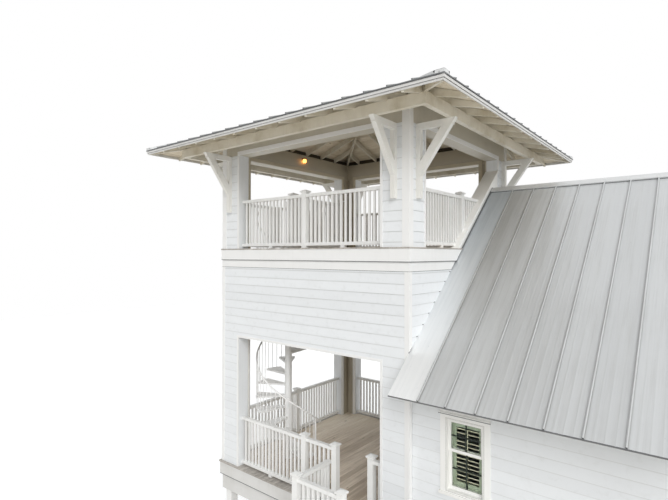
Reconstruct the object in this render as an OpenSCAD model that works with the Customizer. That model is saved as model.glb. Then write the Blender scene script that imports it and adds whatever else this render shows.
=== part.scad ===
// Square lookout tower on an open porch, with the end bays of the house that it stands against.
// Millimetres, +Z up. The tower's front right corner is (0, 0) while the parts are drawn, and
// place() moves everything so that the middle of the whole building's footprint is the origin.

/* [Tower] */
// Width of the tower along the front
tower_w = 4890; // [4720:10:5600]
// Depth of the tower from front to back
tower_d = 4640; // [4300:10:4690]
// Height of the porch deck above the ground
deck_z = 3200; // [2600:10:3400]
// Height from the porch deck to the lookout floor
storey_h = 4850; // [4500:10:5000]
// Thickness of the walls and corner piers
wall_t = 264; // [200:2:300]
// Width of each corner pier's legs
pier_w = 560; // [480:10:640]
// Height of the porch openings above the porch deck
porch_head = 2870; // [2600:10:3000]
// Height of the lookout openings above the lookout floor
lookout_head = 2090; // [2000:10:2150]
// Depth of the joists under the lookout floor
lookout_joist_d = 235; // [180:5:300]

/* [Trim] */
// Height of the band round the lookout floor
band_h = 218; // [150:2:260]
// How far the band stands out from the wall
band_out = 32; // [24:2:60]
// Height of the frieze board under the band
frieze_h = 165; // [100:5:220]
// How far the frieze and corner boards stand out
board_out = 18; // [12:1:22]
// Width of the corner boards below the lookout
low_corner_w = 75; // [60:5:120]
// Width of the corner boards of the lookout
high_corner_w = 120; // [80:5:160]
// Width of the casing round an opening
casing_w = 50; // [40:5:90]

/* [Porch deck] */
// Thickness of the deck boards
deck_t = 28; // [20:1:40]
// How far the deck boards run past the walls
deck_out = 64; // [56:2:90]
// Height of the upper board of the deck's edge, and of the joists behind it
deck_board_h = 262; // [240:2:320]
// Height of the girders under the joists
girder_h = 340; // [260:5:360]
// Width of a girder
girder_b = 140; // [90:5:180]
// Side of the square ground posts
post_b = 180; // [140:5:200]
// How far the ground posts stand in from the walls
post_in = 60; // [10:5:80]

/* [Tower roof] */
// Height of the eave's metal edge above the lookout floor
eave_h = 2232; // [2200:2:2280]
// How far the eave stands out from the walls
eave_out = 1228; // [1100:4:1300]
// Rise of the roof over one metre of run
roof_rise = 350; // [320:5:380]
// Depth of a rafter, measured upright
rafter_d = 130; // [120:2:160]
// Thickness of a rafter
rafter_b = 45; // [38:1:60]
// Distance between rafters
rafter_gap = 605; // [500:5:700]
// Distance between the roof's standing seams
seam_gap = 400; // [300:5:500]
// Height of a standing seam
seam_h = 28; // [20:1:40]
// Width of the hip caps on each side of the hip
hip_cap_w = 75; // [50:5:120]
// Height of the stepped fascia under the metal edge
fascia_h = 68; // [60:2:90]
// Depth of a rafter's tail, which shows below the fascia
tail_h = 94; // [92:2:120]
// Distance from the wall to the outer face of the eave beam
beam_out = 665; // [600:5:720]
// Thickness of the eave beam
beam_b = 90; // [70:5:120]
// Height of the eave beam
beam_h = 185; // [150:5:200]
// Height of the boxed header over the lookout openings
header_h = 445; // [420:5:460]

/* [Brackets] */
// Thickness of a bracket's timbers
bracket_b = 90; // [70:5:110]
// Depth of a bracket's sloping brace
brace_d = 140; // [110:5:160]
// Height of the bracket's foot above the lookout floor
bracket_foot = 820; // [700:10:950]
// Height at which the brace leaves the wall leg, above the lookout floor
brace_foot = 1200; // [1100:10:1300]
// Distance from the tower's corner to the middle of a bracket
bracket_in = 265; // [220:5:300]

/* [Rails] */
// Height of the rails above the floor
rail_h = 1080; // [950:10:1120]
// Width of a top or bottom rail
rail_b = 85; // [60:5:100]
// Height of a top or bottom rail
rail_t = 62; // [45:1:80]
// Gap between the floor and the bottom rail
rail_clear = 48; // [30:2:70]
// Side of a square baluster
baluster_b = 38; // [30:1:45]
// Distance between balusters
baluster_gap = 108; // [90:2:130]
// Side of a rail's posts
newel_b = 115; // [100:5:140]
// Height of a post above the rail, without its cap
newel_up = 40; // [20:5:80]
// Longest piece of rail without a foot in its middle
longest_rail = 1200; // [900:50:1600]

/* [Spiral stair] */
// Radius of the treads
spiral_r = 750; // [700:5:765]
// Distance from the tower's left face to the middle of the column
spiral_x = 1070; // [1060:5:1300]
// Distance from the tower's front face to the middle of the column
spiral_y = 1050; // [1050:5:1300]
// Radius of the column
column_r = 60; // [45:1:75]
// Number of risers
spiral_n = 20; // [18:1:21]
// Turn of one tread, in degrees
tread_turn = 27; // [25:0.5:28]
// Direction of the foot of the stair, in degrees from the right
spiral_foot = 9; // [0:1:20]
// Thickness of a tread
tread_t = 40; // [25:1:50]
// Balusters on each tread
balusters_per_tread = 3; // [2:1:4]
// Radius of a round baluster
rod_r = 8; // [6:0.5:10]
// Radius of the spiral handrail
grip_r = 19; // [15:1:24]

/* [Ground stair] */
// Drop from the porch deck to the landing
landing_drop = 170; // [150:5:190]
// Distance from the tower's corner to the landing's left newel
landing_l = 1660; // [1500:10:1800]
// Distance from the tower's corner to the right newel of the gap in the rail
gap_r = 830; // [760:10:860]
// Distance from the tower's corner to the top of the flight
flight_in = 620; // [600:10:680]
// Distance from the wall to the landing's front posts
landing_out = 930; // [850:10:1000]
// Depth of the landing's frame
landing_frame_d = 190; // [140:5:220]
// Going of one tread
going = 255; // [240:5:265]
// Number of risers from the landing to the ground
flight_n = 17; // [16:1:18]

/* [House wing] */
// Length of the wing from the tower to its party wall
wing_l = 4010; // [3900:10:4300]
// Depth of the wing from wall to wall
wing_d = 7250; // [7000:10:7500]
// How far the wing's front wall stands back from the tower's
wing_in = 90; // [60:5:140]
// Thickness of the wing's walls
wing_t = 150; // [120:5:200]
// Pitch of the wing's roof, in degrees
wing_pitch = 39.9; // [38.5:0.1:41]
// Height of the wing's eave below the lookout floor
wing_drop = 2294; // [2200:2:2400]
// How far the wing's eave stands out past the tower's front
wing_eave = 644; // [560:4:700]
// Width of the plain flashing panel beside the tower
flash_w = 517; // [450:5:600]
// Distance between the wing roof's standing seams
wing_seam_gap = 437; // [380:1:480]
// Height of a standing seam on the wing
wing_seam_h = 36; // [20:2:38]
// Height of the sloping cheek wall's cap above the wing's roof
cheek_up = 140; // [125:5:170]

/* [Windows] */
// Width of the window between its casings
window_w = 615; // [540:5:700]
// Height of the window between its casings
window_h = 1140; // [1000:10:1180]
// Distance from the tower to the window
window_x = 620; // [500:10:900]
// Height of the window's foot above its floor
window_up = 1020; // [960:10:1060]
// Width of the casing round a window
window_casing = 95; // [80:5:110]
// Distance between the shutters' slats
slat_gap = 64; // [55:1:80]
// Width of a shutter's stiles
shutter_stile = 100; // [60:2:120]
// Height of a shutter's rails
shutter_rail = 120; // [80:2:150]

/* [Hidden] */

paint = "#f1f2f2";
trim_white = "#f7f6f2";
metal = "#aeb3b5";
weathered = "#a3917d";
$fn = 24;

lookout_z = deck_z + storey_h;
floor_t = 25;
slope = roof_rise / 1000;
eave_z = lookout_z + eave_h;
joint = 0.5;
far = 20000;

// Vertical distances below the metal's top: the metal, the boards, the rafters
metal_d = 22;
boards_d = 48;
rafters_d = boards_d + rafter_d;
sheet_edge = 6;
// Insets from the tower's eave: of the ceiling boards, the rafters' tails and the hip rafters
boards_in = 36;
tails_in = 42;
hips_in = 60;

header_z = lookout_z + lookout_head;
header_top = header_z + header_h;
beam_z = lookout_z + eave_h - 147;

wing_slope = tan(wing_pitch);
wing_eave_z = lookout_z - wing_drop;
wing_back = wing_in + wing_d;
ridge_y = wing_in + wing_d / 2;
ridge_z = wing_eave_z + (ridge_y + wing_eave) * wing_slope;
wing_roof_t = 62;
ridge_leg = 130;
back_eave_y = 2 * ridge_y + wing_eave;
cheek_t = 44;

box_x = [-tower_w - eave_out, wing_l];
box_y = [-eave_out, back_eave_y];

spiral_mid = [-tower_w + spiral_x, spiral_y];
spiral_riser = storey_h / spiral_n;
well_gap = 45;
well_r = spiral_r + well_gap;
landing_z = deck_z - landing_drop;
flight_riser = landing_z / flight_n;
flight_x = -flight_in;
fascia_out = deck_out - 20;
stair_front = -landing_out + newel_b / 2 + joint;
stair_back = -fascia_out - 40;
stringer_d = 260;
ground_floor_t = 120;
window_z = [ground_floor_t + window_up, deck_z + window_up];
grip_up = 1050;
cap_out = 24;
cap_t = 26;
cap_up = 30;

// Height of the wing roof's top above a point of the floor plan
function wing_top(y) = y < ridge_y
    ? wing_eave_z + (y + wing_eave) * wing_slope
    : wing_eave_z + (back_eave_y - y) * wing_slope;
// Distance from the front at which the cheek's cap reaches a height
function cheek_y(z) = (z - cheek_up - wing_eave_z) / wing_slope - wing_eave;
// Height of the underside of the tower's rafters at a distance out from the wall
function rafter_under(out) = eave_z - rafters_d + (eave_out - out) * slope;

module place() {
    translate([-(box_x[0] + box_x[1]) / 2, -(box_y[0] + box_y[1]) / 2, 0]) children();
}

module block(lo, hi) {
    translate(lo) cube(hi - lo);
}

// A profile drawn in the Y-Z plane and stretched along X
module along_x(x0, x1) {
    translate([x0, 0, 0]) rotate([90, 0, 90]) linear_extrude(x1 - x0) children();
}

// A profile drawn in the X-Z plane and stretched along Y
module along_y(y0, y1) {
    translate([0, y1, 0]) rotate([90, 0, 0]) linear_extrude(y1 - y0) children();
}

// An upright frame of boards round the tower, from out0 to out1 outside its faces
module ring(out0, out1, z0, z1) {
    difference() {
        block([-tower_w - out1, -out1, z0], [out1, tower_d + out1, z1]);
        block([-tower_w - out0, -out0, z0 - 1], [out0, tower_d + out0, z1 + 1]);
    }
}

// An L-shaped corner pier, with its outer corner at a corner of the tower
module corner_pier(z0, z1) {
    for (at = [[-tower_w, 0, 1, 1], [0, 0, -1, 1], [-tower_w, tower_d, 1, -1], [0, tower_d, -1, -1]])
        translate([at[0], at[1], z0]) mirror([at[2] < 0 ? 1 : 0, 0, 0])
            mirror([0, at[3] < 0 ? 1 : 0, 0]) linear_extrude(z1 - z0)
                polygon([[0, 0], [pier_w, 0], [pier_w, wall_t], [wall_t, wall_t], [wall_t, pier_w],
                    [0, pier_w]]);
}

// The tower roof's outline, lowered by drop and drawn in by inset
module hip_solid(drop, inset) {
    half_d = tower_d / 2 + eave_out - inset;
    half_w = tower_w / 2 + eave_out - inset;
    edge = inset * slope - drop;
    base = lookout_head - eave_h - drop;
    translate([-tower_w / 2, tower_d / 2, eave_z]) intersection() {
        along_x(-half_w, half_w)
            polygon([[-half_d, base], [half_d, base], [half_d, edge], [0, edge + half_d * slope],
                [-half_d, edge]]);
        along_y(-half_d, half_d)
            polygon([[-half_w, base], [half_w, base], [half_w, edge], [0, edge + half_w * slope],
                [-half_w, edge]]);
    }
}

module hip_shell(top, bottom, inset) {
    difference() {
        hip_solid(top, inset);
        hip_solid(bottom, -1);
    }
}

// The floor plan under the front and back slopes, drawn in by trim along the hips and by gap at the ridge
module front_back_plan(trim, gap = 0) {
    out = eave_out + 1;
    top = tower_d / 2 - gap;
    for (flip = [0, 1]) translate([0, flip * tower_d, 0]) mirror([0, flip, 0])
        polygon([[-tower_w - out + trim, -out], [out - trim, -out], [-top - trim, top],
            [-tower_w + top + trim, top]]);
}

// The floor plan under the two side slopes, drawn in by trim along the hips
module side_plan(trim) {
    out = eave_out + 1;
    half = tower_d / 2;
    for (flip = [0, 1]) translate([-flip * tower_w, 0, 0]) mirror([flip, 0, 0])
        polygon([[out, -out + trim], [out, tower_d + out - trim], [-half + trim, half]]);
}

// Places of n things a gap apart, with the middle of the row at mid
function row(mid, gap, n) = [for (i = [0 : n - 1]) mid + (i - (n - 1) / 2) * gap];

// A post with its overhanging cap and low pyramid, standing at the origin
module newel(h) {
    top = newel_b / 2 + cap_out;
    translate([-newel_b / 2, -newel_b / 2, 0]) cube([newel_b, newel_b, h]);
    translate([-top, -top, h - 0.01]) cube([2 * top, 2 * top, cap_t]);
    translate([0, 0, h + cap_t - 0.02]) intersection() {
        along_x(-top, top) polygon([[-top, 0], [top, 0], [0, cap_up]]);
        along_y(-top, top) polygon([[-top, 0], [top, 0], [0, cap_up]]);
    }
}

// A rail panel along X from 0 to l: two rails, balusters and small feet under the bottom rail
module rail_panel(l) {
    low = rail_clear;
    n = max(1, round(l / baluster_gap) - 1);
    gap = l / (n + 1);
    translate([0, -rail_b / 2, rail_h - rail_t]) cube([l, rail_b, rail_t]);
    translate([0, -rail_b / 2, low]) cube([l, rail_b, rail_t]);
    for (i = [1 : n]) translate([i * gap - baluster_b / 2, -baluster_b / 2, low + rail_t - 1])
        cube([baluster_b, baluster_b, rail_h - low - 2 * rail_t + 2]);
    if (l > longest_rail) translate([l / 2 - rail_b / 2, -rail_b / 2, 0]) cube([rail_b, rail_b, low + 1]);
}

// Two rail panels with a capped post between them, filling an opening l wide
module rail_with_post(l) {
    bay = (l - newel_b) / 2;
    rail_panel(bay + 1);
    translate([l - bay - 1, 0, 0]) rail_panel(bay + 1);
    translate([l / 2, 0, 0]) newel(rail_h + newel_up);
}

// Square posts that carry the porch deck and the landing
module ground_posts() {
    color(trim_white) {
        top = deck_z - deck_t - deck_board_h - girder_h;
        for (x = [-tower_w + post_in, -tower_w / 2 - post_b / 2, -post_in - post_b])
            for (y = [post_in, tower_d / 2 - post_b / 2, tower_d - post_in - post_b])
                translate([x, y, 0]) cube([post_b, post_b, top]);
    }
}

// Joists inside the deck's edge boards, and under them the girders from post to post
module deck_frame() {
    joist_z = deck_z - deck_t - deck_board_h;
    girder_z = joist_z - girder_h;
    front_l = tower_w / 2 - 1.5 * girder_b - 3 * joint;
    n = floor((tower_d - rafter_b) / 400) + 1;
    color(trim_white) {
        for (y = [-fascia_out, tower_d])
            block([-tower_w - fascia_out, y, joist_z], [-joint, y + fascia_out, deck_z - deck_t]);
        block([-tower_w - fascia_out, joint, joist_z], [-tower_w, tower_d - joint, deck_z - deck_t]);
        for (y = row(tower_d / 2, (tower_d - 2 * rafter_b) / (n - 1), n))
            block([-tower_w + joint, y - rafter_b / 2, joist_z], [-joint, y + rafter_b / 2, deck_z - deck_t]);
        for (x = [-tower_w, -tower_w / 2 - girder_b / 2, -girder_b - joint])
            block([x, 0, girder_z], [x + girder_b, tower_d, joist_z - joint / 2]);
        for (x = [-tower_w + girder_b, -tower_w / 2 + girder_b / 2])
            block([x + joint, 0, girder_z], [x + joint + front_l, girder_b, joist_z - joint / 2]);
    }
}

module porch_deck() {
    color(weathered)
        block([-tower_w - deck_out, -deck_out, deck_z - deck_t], [-joint, tower_d + deck_out, deck_z]);
}

// The corner piers beside the porch's openings
module porch_piers() {
    color(paint) corner_pier(deck_z, deck_z + porch_head);
}

module front_wall() {
    color(paint) block([-tower_w, 0, deck_z + porch_head], [0, wall_t, lookout_z - floor_t]);
}

module back_wall() {
    color(paint) block([-tower_w, tower_d - wall_t, deck_z + porch_head],
        [0, tower_d, lookout_z - floor_t]);
}

module left_wall() {
    color(paint) block([-tower_w, wall_t, deck_z + porch_head],
        [-tower_w + wall_t, tower_d - wall_t, lookout_z - floor_t]);
}

// The wall between the porch and the house, closed from the deck up
module right_wall() {
    head = deck_z + porch_head;
    top = lookout_z - floor_t;
    color(paint) along_x(-wall_t, 0)
        polygon([[pier_w, deck_z], [tower_d - pier_w, deck_z], [tower_d - pier_w, head],
            [tower_d - wall_t, head], [tower_d - wall_t, top], [wall_t, top], [wall_t, head],
            [pier_w, head]]);
}

// Everything above the front slope of the wing's roof, as if the slope ran on for ever
module over_slope(up) {
    high_y = tower_d + 500;
    along_x(-far / 2, far / 2) polygon([[-wing_eave, wing_eave_z + up], [high_y, wing_eave_z + up +
        (high_y + wing_eave) * wing_slope], [high_y, far], [-far, far], [-far, wing_eave_z + up]]);
}

// Where trim may stand out from the tower's house side: over the roof, or under its eave
module clear_of_wing() {
    up = seam_h + 12;
    down = wing_roof_t + 10;
    block([-far, -far, 0], [-joint, far, far]);
    along_x(-2 * joint, far) polygon([[-wing_eave, wing_eave_z + up], [ridge_y, ridge_z + up],
        [back_eave_y, wing_eave_z + up], [back_eave_y, far], [-far, far], [-far, wing_eave_z + up]]);
    along_x(-2 * joint, far) polygon([[-wing_eave, 0], [wing_in - joint, 0],
        [wing_in - joint, wing_top(wing_in) - down], [-wing_eave, wing_eave_z - down]]);
}

// One upright L-shaped corner board, its inner corner at the origin
module corner_board(w, h) {
    linear_extrude(h) polygon([[-board_out, -board_out], [w, -board_out], [w, 0], [0, 0], [0, w],
        [-board_out, w]]);
}

// Corner boards of both storeys and the casings round every opening
module trim_boards() {
    low_h = lookout_z - floor_t - band_h - frieze_h - deck_z - joint;
    high_h = lookout_head + header_h - 60;
    front_l = tower_w - 2 * pier_w;
    side_l = tower_d - 2 * pier_w;
    high_casing = 85;
    color(trim_white) intersection() {
        union() {
            for (x = [0, 1], y = [0, 1]) translate([-x * tower_w, y * tower_d, 0])
                mirror([1 - x, 0, 0]) mirror([0, y, 0]) {
                    translate([0, 0, deck_z]) corner_board(low_corner_w, low_h);
                    translate([0, 0, lookout_z]) corner_board(high_corner_w, high_h);
                }
            for (level = [[deck_z, porch_head, casing_w], [lookout_z, lookout_head, high_casing]]) {
                translate([-tower_w + pier_w, 0, level[0]]) rotate([90, 0, 0])
                    casing(front_l, level[1], level[2]);
                translate([-pier_w, tower_d, level[0]]) rotate([90, 0, 180])
                    casing(front_l, level[1], level[2]);
                translate([-tower_w, tower_d - pier_w, level[0]]) rotate([90, 0, -90])
                    casing(side_l, level[1], level[2]);
            }
            intersection() {
                translate([0, pier_w, lookout_z]) rotate([90, 0, 90])
                    casing(side_l, lookout_head, high_casing);
                over_slope(cheek_up + cheek_t);
            }
        }
        clear_of_wing();
    }
}

// The flat band over a frieze board, round three sides and down to the roof on the fourth
module floor_band() {
    top = lookout_z - floor_t;
    color(trim_white) intersection() {
        union() {
            ring(0, band_out, top - band_h, top);
            ring(0, board_out, top - band_h - frieze_h, top - band_h + 1);
        }
        clear_of_wing();
    }
}

// Boards round one opening, drawn in the X-Z plane from its lower left corner
module casing(w, h, head_h) {
    linear_extrude(board_out) polygon([[-casing_w, 0], [0, 0], [0, h], [w, h], [w, 0], [w + casing_w, 0],
        [w + casing_w, h + head_h], [-casing_w, h + head_h]]);
}

// The lookout's floor, with the round stairwell cut out except for the sector that lands it
module lookout_floor() {
    nose = band_out + 10;
    top_turn = spiral_foot - (spiral_n - 1) * tread_turn;
    color(weathered) difference() {
        intersection() {
            block([-tower_w - nose, -nose, lookout_z - floor_t], [nose, tower_d + nose, lookout_z]);
            clear_of_wing();
        }
        translate([spiral_mid[0], spiral_mid[1], lookout_z - floor_t - 1]) difference() {
            cylinder(r = well_r, h = floor_t + 2, $fn = 72);
            rotate(top_turn - 90) translate([0, 0, -1]) cube([far, far, floor_t + 4]);
            translate([0, 0, -1]) cylinder(r = column_r + 30, h = floor_t + 4);
        }
        translate([spiral_mid[0], spiral_mid[1], lookout_z - floor_t - 1])
            cylinder(r = column_r + joint, h = floor_t + 2);
    }
}

// Joists between the front and back walls, cut short behind the stairwell by two trimmers
module lookout_joists() {
    low = lookout_z - floor_t - lookout_joist_d;
    high = lookout_z - floor_t - joint / 2;
    n = floor((tower_w - 2 * wall_t) / 400);
    well_x = spiral_mid[0] + well_r + rafter_b;
    well_y = spiral_mid[1] + well_r + rafter_b;
    color(trim_white) {
        for (x = row(-tower_w / 2, (tower_w - 2 * wall_t) / (n + 1), n)) {
            start = x < well_x + rafter_b ? well_y + joint : wall_t;
            block([x - rafter_b / 2, start, low], [x + rafter_b / 2, tower_d - wall_t, high]);
        }
        block([-tower_w + wall_t, well_y - rafter_b, low], [well_x, well_y, high]);
        block([well_x - rafter_b, wall_t, low], [well_x, well_y - rafter_b - joint, high]);
    }
}

module lookout_piers() {
    color(paint) corner_pier(lookout_z, header_z);
}

// Boxed beams over the lookout's openings, the side pair fitted between the long pair
module header_beams() {
    color(paint) {
        for (y = [0, tower_d - wall_t]) block([-tower_w, y, header_z], [0, y + wall_t, header_top]);
        for (x = [-tower_w, -wall_t]) block([x, wall_t + joint, header_z],
            [x + wall_t, tower_d - wall_t - joint, header_top]);
    }
}

// The beam under the rafters, carried outside the walls by the brackets
module eave_beam() {
    color(trim_white) {
        in = beam_out - beam_b;
        for (y = [-beam_out, tower_d + in])
            block([-tower_w - beam_out, y, beam_z], [beam_out, y + beam_b, beam_z + beam_h]);
        for (x = [-tower_w - beam_out, in])
            block([x, -in + joint, beam_z], [x + beam_b, tower_d + in - joint, beam_z + beam_h]);
    }
}

// One bracket standing out along -Y from a wall face at y = 0: leg, arm and sloping brace
module bracket() {
    top = beam_z - lookout_z;
    arm_d = 105;
    reach = beam_out + 55;
    head = [-reach, top];
    foot = [-bracket_b, brace_foot];
    run = head[0] - foot[0];
    rise = head[1] - foot[1];
    width = brace_d * sqrt(run * run + rise * rise) / rise;
    translate([0, 0, lookout_z]) along_x(-bracket_b / 2, bracket_b / 2) {
        polygon([[0, bracket_foot], [0, top], [-bracket_b, top], [-bracket_b, bracket_foot]]);
        polygon([[-bracket_b + 1, top - arm_d], [-bracket_b + 1, top], [-beam_out, top],
            [-beam_out, top - arm_d]]);
        polygon([foot, head, [head[0] + width, top], [-bracket_b + 1, foot[1] - width * rise / run],
            [-bracket_b + 1, foot[1]]]);
    }
}

module brackets() {
    color(trim_white) for (side = [0, 1]) {
        for (x = [-bracket_in, -tower_w + bracket_in]) translate([x, side * tower_d, 0])
            mirror([0, side, 0]) bracket();
        for (y = [bracket_in, tower_d - bracket_in]) translate([-side * tower_w, y, 0])
            mirror([side, 0, 0]) rotate(90) bracket();
    }
}

// Beds that are cut out of the rafters where they sit on the headers and the eave beam
module rafter_seats() {
    ring(-wall_t, 0, header_z - 10, header_top);
    ring(beam_out - beam_b, beam_out, beam_z - 10, beam_z + beam_h);
}

// One rafter's side, with its tail tapered from the eave beam to the fascia
module rafter_profile() {
    tail = eave_out - tails_in;
    tail_z = eave_z + (eave_out - tail) * slope;
    mid = tower_d / 2;
    polygon([[-tail, tail_z - boards_d - 8], [-tail, eave_z - metal_d - tail_h],
        [-beam_out, rafter_under(beam_out)], [mid, rafter_under(-mid)],
        [mid, rafter_under(-mid) + rafter_d]]);
}

// Hip rafters from the ends of the ridge board out to the corners of the eave
module hip_plates() {
    half = tower_d / 2;
    start = rafter_b / 2 + joint;
    run = (half + eave_out - hips_in) * sqrt(2);
    top = eave_z + (half + eave_out) * slope;
    fall = run * slope / sqrt(2);
    deep = rafters_d + 20;
    for (end = [[-half, -45], [-half, 45], [-tower_w + half, -135], [-tower_w + half, 135]])
        translate([end[0], half, 0]) rotate(end[1]) translate([0, rafter_b / 2, 0])
            rotate([90, 0, 0]) linear_extrude(rafter_b)
                polygon([[start, top], [run, top], [run, top - fall - metal_d - tail_h],
                    [0.8 * run, top - 0.8 * fall - deep], [start, top - deep]]);
    block([-tower_w + half, half - rafter_b / 2, top - deep], [-half, half + rafter_b / 2, top]);
}

// Common and jack rafters over the four sides, with the hip rafters and the ridge board
module rafters() {
    side_n = 2 * floor((tower_d / 2 + eave_out - 200) / rafter_gap);
    front_n = 2 * floor((tower_w / 2 + eave_out - 200) / rafter_gap) + 1;
    trim = rafter_b / sqrt(2) + joint;
    ridge_gap = rafter_b / 2 + joint;
    color(trim_white) difference() {
        union() {
            intersection() {
                union() {
                    intersection() {
                        linear_extrude(far) front_back_plan(trim);
                        for (x = row(-tower_w / 2, rafter_gap, front_n), flip = [0, 1])
                            translate([0, flip * tower_d, 0]) mirror([0, flip, 0])
                                along_x(x - rafter_b / 2, x + rafter_b / 2) rafter_profile();
                    }
                    intersection() {
                        linear_extrude(far) side_plan(trim);
                        for (y = row(tower_d / 2, rafter_gap, side_n), flip = [0, 1])
                            translate([-flip * tower_w, y + rafter_b / 2, 0]) mirror([1 - flip, 0, 0])
                                rotate([90, 0, 0]) linear_extrude(rafter_b) rafter_profile();
                    }
                }
                hip_solid(boards_d, tails_in);
                union() for (y = [-far + tower_d / 2 - ridge_gap, tower_d / 2 + ridge_gap])
                    translate([-far / 2, y, 0]) cube(far);
            }
            intersection() {
                hip_plates();
                hip_solid(boards_d, tails_in + 2);
            }
        }
        rafter_seats();
    }
}

// The boards between the rafters and the metal, seen from below as the lookout's ceiling
module roof_boards() {
    color(weathered) hip_shell(metal_d, boards_d, boards_in);
}

// Two stepped boards round the tower's eave
module roof_fascia() {
    low = eave_z - metal_d - fascia_h;
    color(trim_white) intersection() {
        union() {
            ring(eave_out - boards_in + joint, eave_out - sheet_edge - joint, low + 32, eave_z + 100);
            ring(eave_out - tails_in + joint, eave_out - 22, low, low + 33);
        }
        hip_solid(metal_d, 0);
    }
}

// The tower's sheet metal roof: a sheet with standing seams on each slope, and folded caps on the hips
module tower_roof() {
    n_front = 2 * floor((tower_w / 2 + eave_out - 120) / seam_gap) + 1;
    n_side = 2 * floor((tower_d / 2 + eave_out - 120) / seam_gap) + 1;
    low = eave_z - metal_d;
    seam_trim = (hip_cap_w + 4) * sqrt(2);
    color(metal) {
        intersection() {
            linear_extrude(far) front_back_plan(joint, joint);
            union() {
                sheet_and_edge();
                intersection() {
                    linear_extrude(far) front_back_plan(seam_trim, hip_cap_w + 4);
                    hip_shell(-seam_h, metal_d / 2, 2);
                    for (x = row(-tower_w / 2, seam_gap, n_front))
                        block([x - 7, -eave_out, low], [x + 7, tower_d + eave_out, far]);
                }
            }
        }
        intersection() {
            linear_extrude(far) side_plan(joint);
            union() {
                sheet_and_edge();
                intersection() {
                    linear_extrude(far) side_plan(seam_trim);
                    hip_shell(-seam_h, metal_d / 2, 2);
                    for (y = row(tower_d / 2, seam_gap, n_side))
                        block([-tower_w - eave_out, y - 7, low], [eave_out, y + 7, far]);
                }
            }
        }
        hip_caps();
    }
}

// The roof's sheet all round, with its turned-down edge
module sheet_and_edge() {
    low = eave_z - metal_d;
    hip_shell(0, metal_d, 0);
    ring(eave_out - sheet_edge - 1, eave_out - 1, low - 20, low + 8);
}

// A cap along each hip, with its share of the short ridge
module hip_caps() {
    half = tower_d / 2;
    for (side = [0, 1], flip = [0, 1]) intersection() {
        hip_shell(-seam_h - 8, -joint, 3);
        translate([-side * tower_w, flip * tower_d, 0]) mirror([side, 0, 0]) mirror([0, flip, 0])
            intersection() {
                block([-tower_w / 2 + joint, -far, 0], [far, half - joint, far]);
                union() {
                    translate([-half, half, 0]) rotate(-45) translate([-hip_cap_w, -hip_cap_w, 0])
                        cube([far, 2 * hip_cap_w, far]);
                    block([-tower_w / 2, half - hip_cap_w, 0], [-half, half, far]);
                }
            }
    }
}

module lookout_rail_front() {
    color(trim_white) translate([-tower_w + pier_w, wall_t / 2, lookout_z])
        rail_with_post(tower_w - 2 * pier_w);
}

module lookout_rail_back() {
    color(trim_white) translate([-tower_w + pier_w, tower_d - wall_t / 2, lookout_z])
        rail_with_post(tower_w - 2 * pier_w);
}

module lookout_rail_left() {
    color(trim_white) translate([-tower_w + wall_t / 2, pier_w, lookout_z]) rotate(90)
        rail_with_post(tower_d - 2 * pier_w);
}

// The house-side rail, which dies into the cap of the sloping cheek wall
module lookout_rail_right() {
    color(trim_white) intersection() {
        translate([-wall_t / 2, pier_w, lookout_z]) rotate(90) rail_with_post(tower_d - 2 * pier_w);
        over_slope(cheek_up + cheek_t);
    }
}

// The guard round the stairwell: a long side, and a short side up to the landing's way out
module stairwell_rail() {
    x = spiral_mid[0] + well_r + newel_b / 2;
    y0 = wall_t + newel_b / 2 + joint;
    y1 = spiral_mid[1] + well_r + newel_b / 2;
    back = 640;
    color(trim_white) translate([0, 0, lookout_z]) {
        for (at = [[x, y0], [x, y1], [x - newel_b - back, y1]]) translate([at[0], at[1], 0])
            newel(rail_h + newel_up);
        translate([x, y0 + newel_b / 2 - 1, 0]) rotate(90) rail_panel(y1 - y0 - newel_b + 2);
        translate([x - newel_b / 2 - back - 1, y1, 0]) rail_panel(back + 1 - joint);
    }
}

// The porch's front rail, open at the landing between two posts
module porch_rail_front() {
    left = -tower_w + pier_w;
    mid = -tower_w / 2;
    color(trim_white) translate([0, wall_t / 2, deck_z]) {
        translate([left, 0, 0]) rail_panel(mid - left - newel_b / 2 + 1);
        translate([mid, 0, 0]) newel(rail_h + newel_up);
        translate([mid + newel_b / 2 - 1, 0, 0])
            rail_panel(-landing_l - mid - newel_b + 2);
        translate([-landing_l, 0, 0]) newel(rail_h + newel_up);
        translate([-gap_r, 0, 0]) newel(rail_h + newel_up);
        translate([-gap_r + newel_b / 2 - 1, 0, 0]) rail_panel(gap_r - pier_w - newel_b / 2 + 1);
    }
}

module porch_rail_back() {
    color(trim_white) translate([-tower_w + pier_w, tower_d - wall_t / 2, deck_z])
        rail_with_post(tower_w - 2 * pier_w);
}

module porch_rail_left() {
    color(trim_white) translate([-tower_w + wall_t / 2, pier_w, deck_z]) rotate(90)
        rail_with_post(tower_d - 2 * pier_w);
}

// The column of the spiral stair, from the porch deck to the height of the lookout's rails
module spiral_column() {
    color(trim_white) translate([spiral_mid[0], spiral_mid[1], deck_z]) {
        cylinder(r = column_r + 55, h = 12);
        cylinder(r = column_r, h = storey_h + rail_h, $fn = 48);
        translate([0, 0, storey_h + rail_h - 0.1]) cylinder(r = column_r + 12, h = 24);
    }
}

// One tread: a wedge on a hub that sleeves the column and stands on the hub below
module spiral_tread(hub_h) {
    lap = 4;
    arc = [for (i = [0 : 6]) let (a = -i * (tread_turn + lap) / 6) spiral_r * [cos(a), sin(a)]];
    difference() {
        union() {
            translate([0, 0, -tread_t]) linear_extrude(tread_t)
                polygon(concat([[0, -30], [0, 30]], arc));
            translate([0, 0, -hub_h]) cylinder(r = column_r + 22, h = hub_h, $fn = 48);
        }
        translate([0, 0, -hub_h - 1]) cylinder(r = column_r + joint, h = hub_h + 2, $fn = 48);
    }
}

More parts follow.
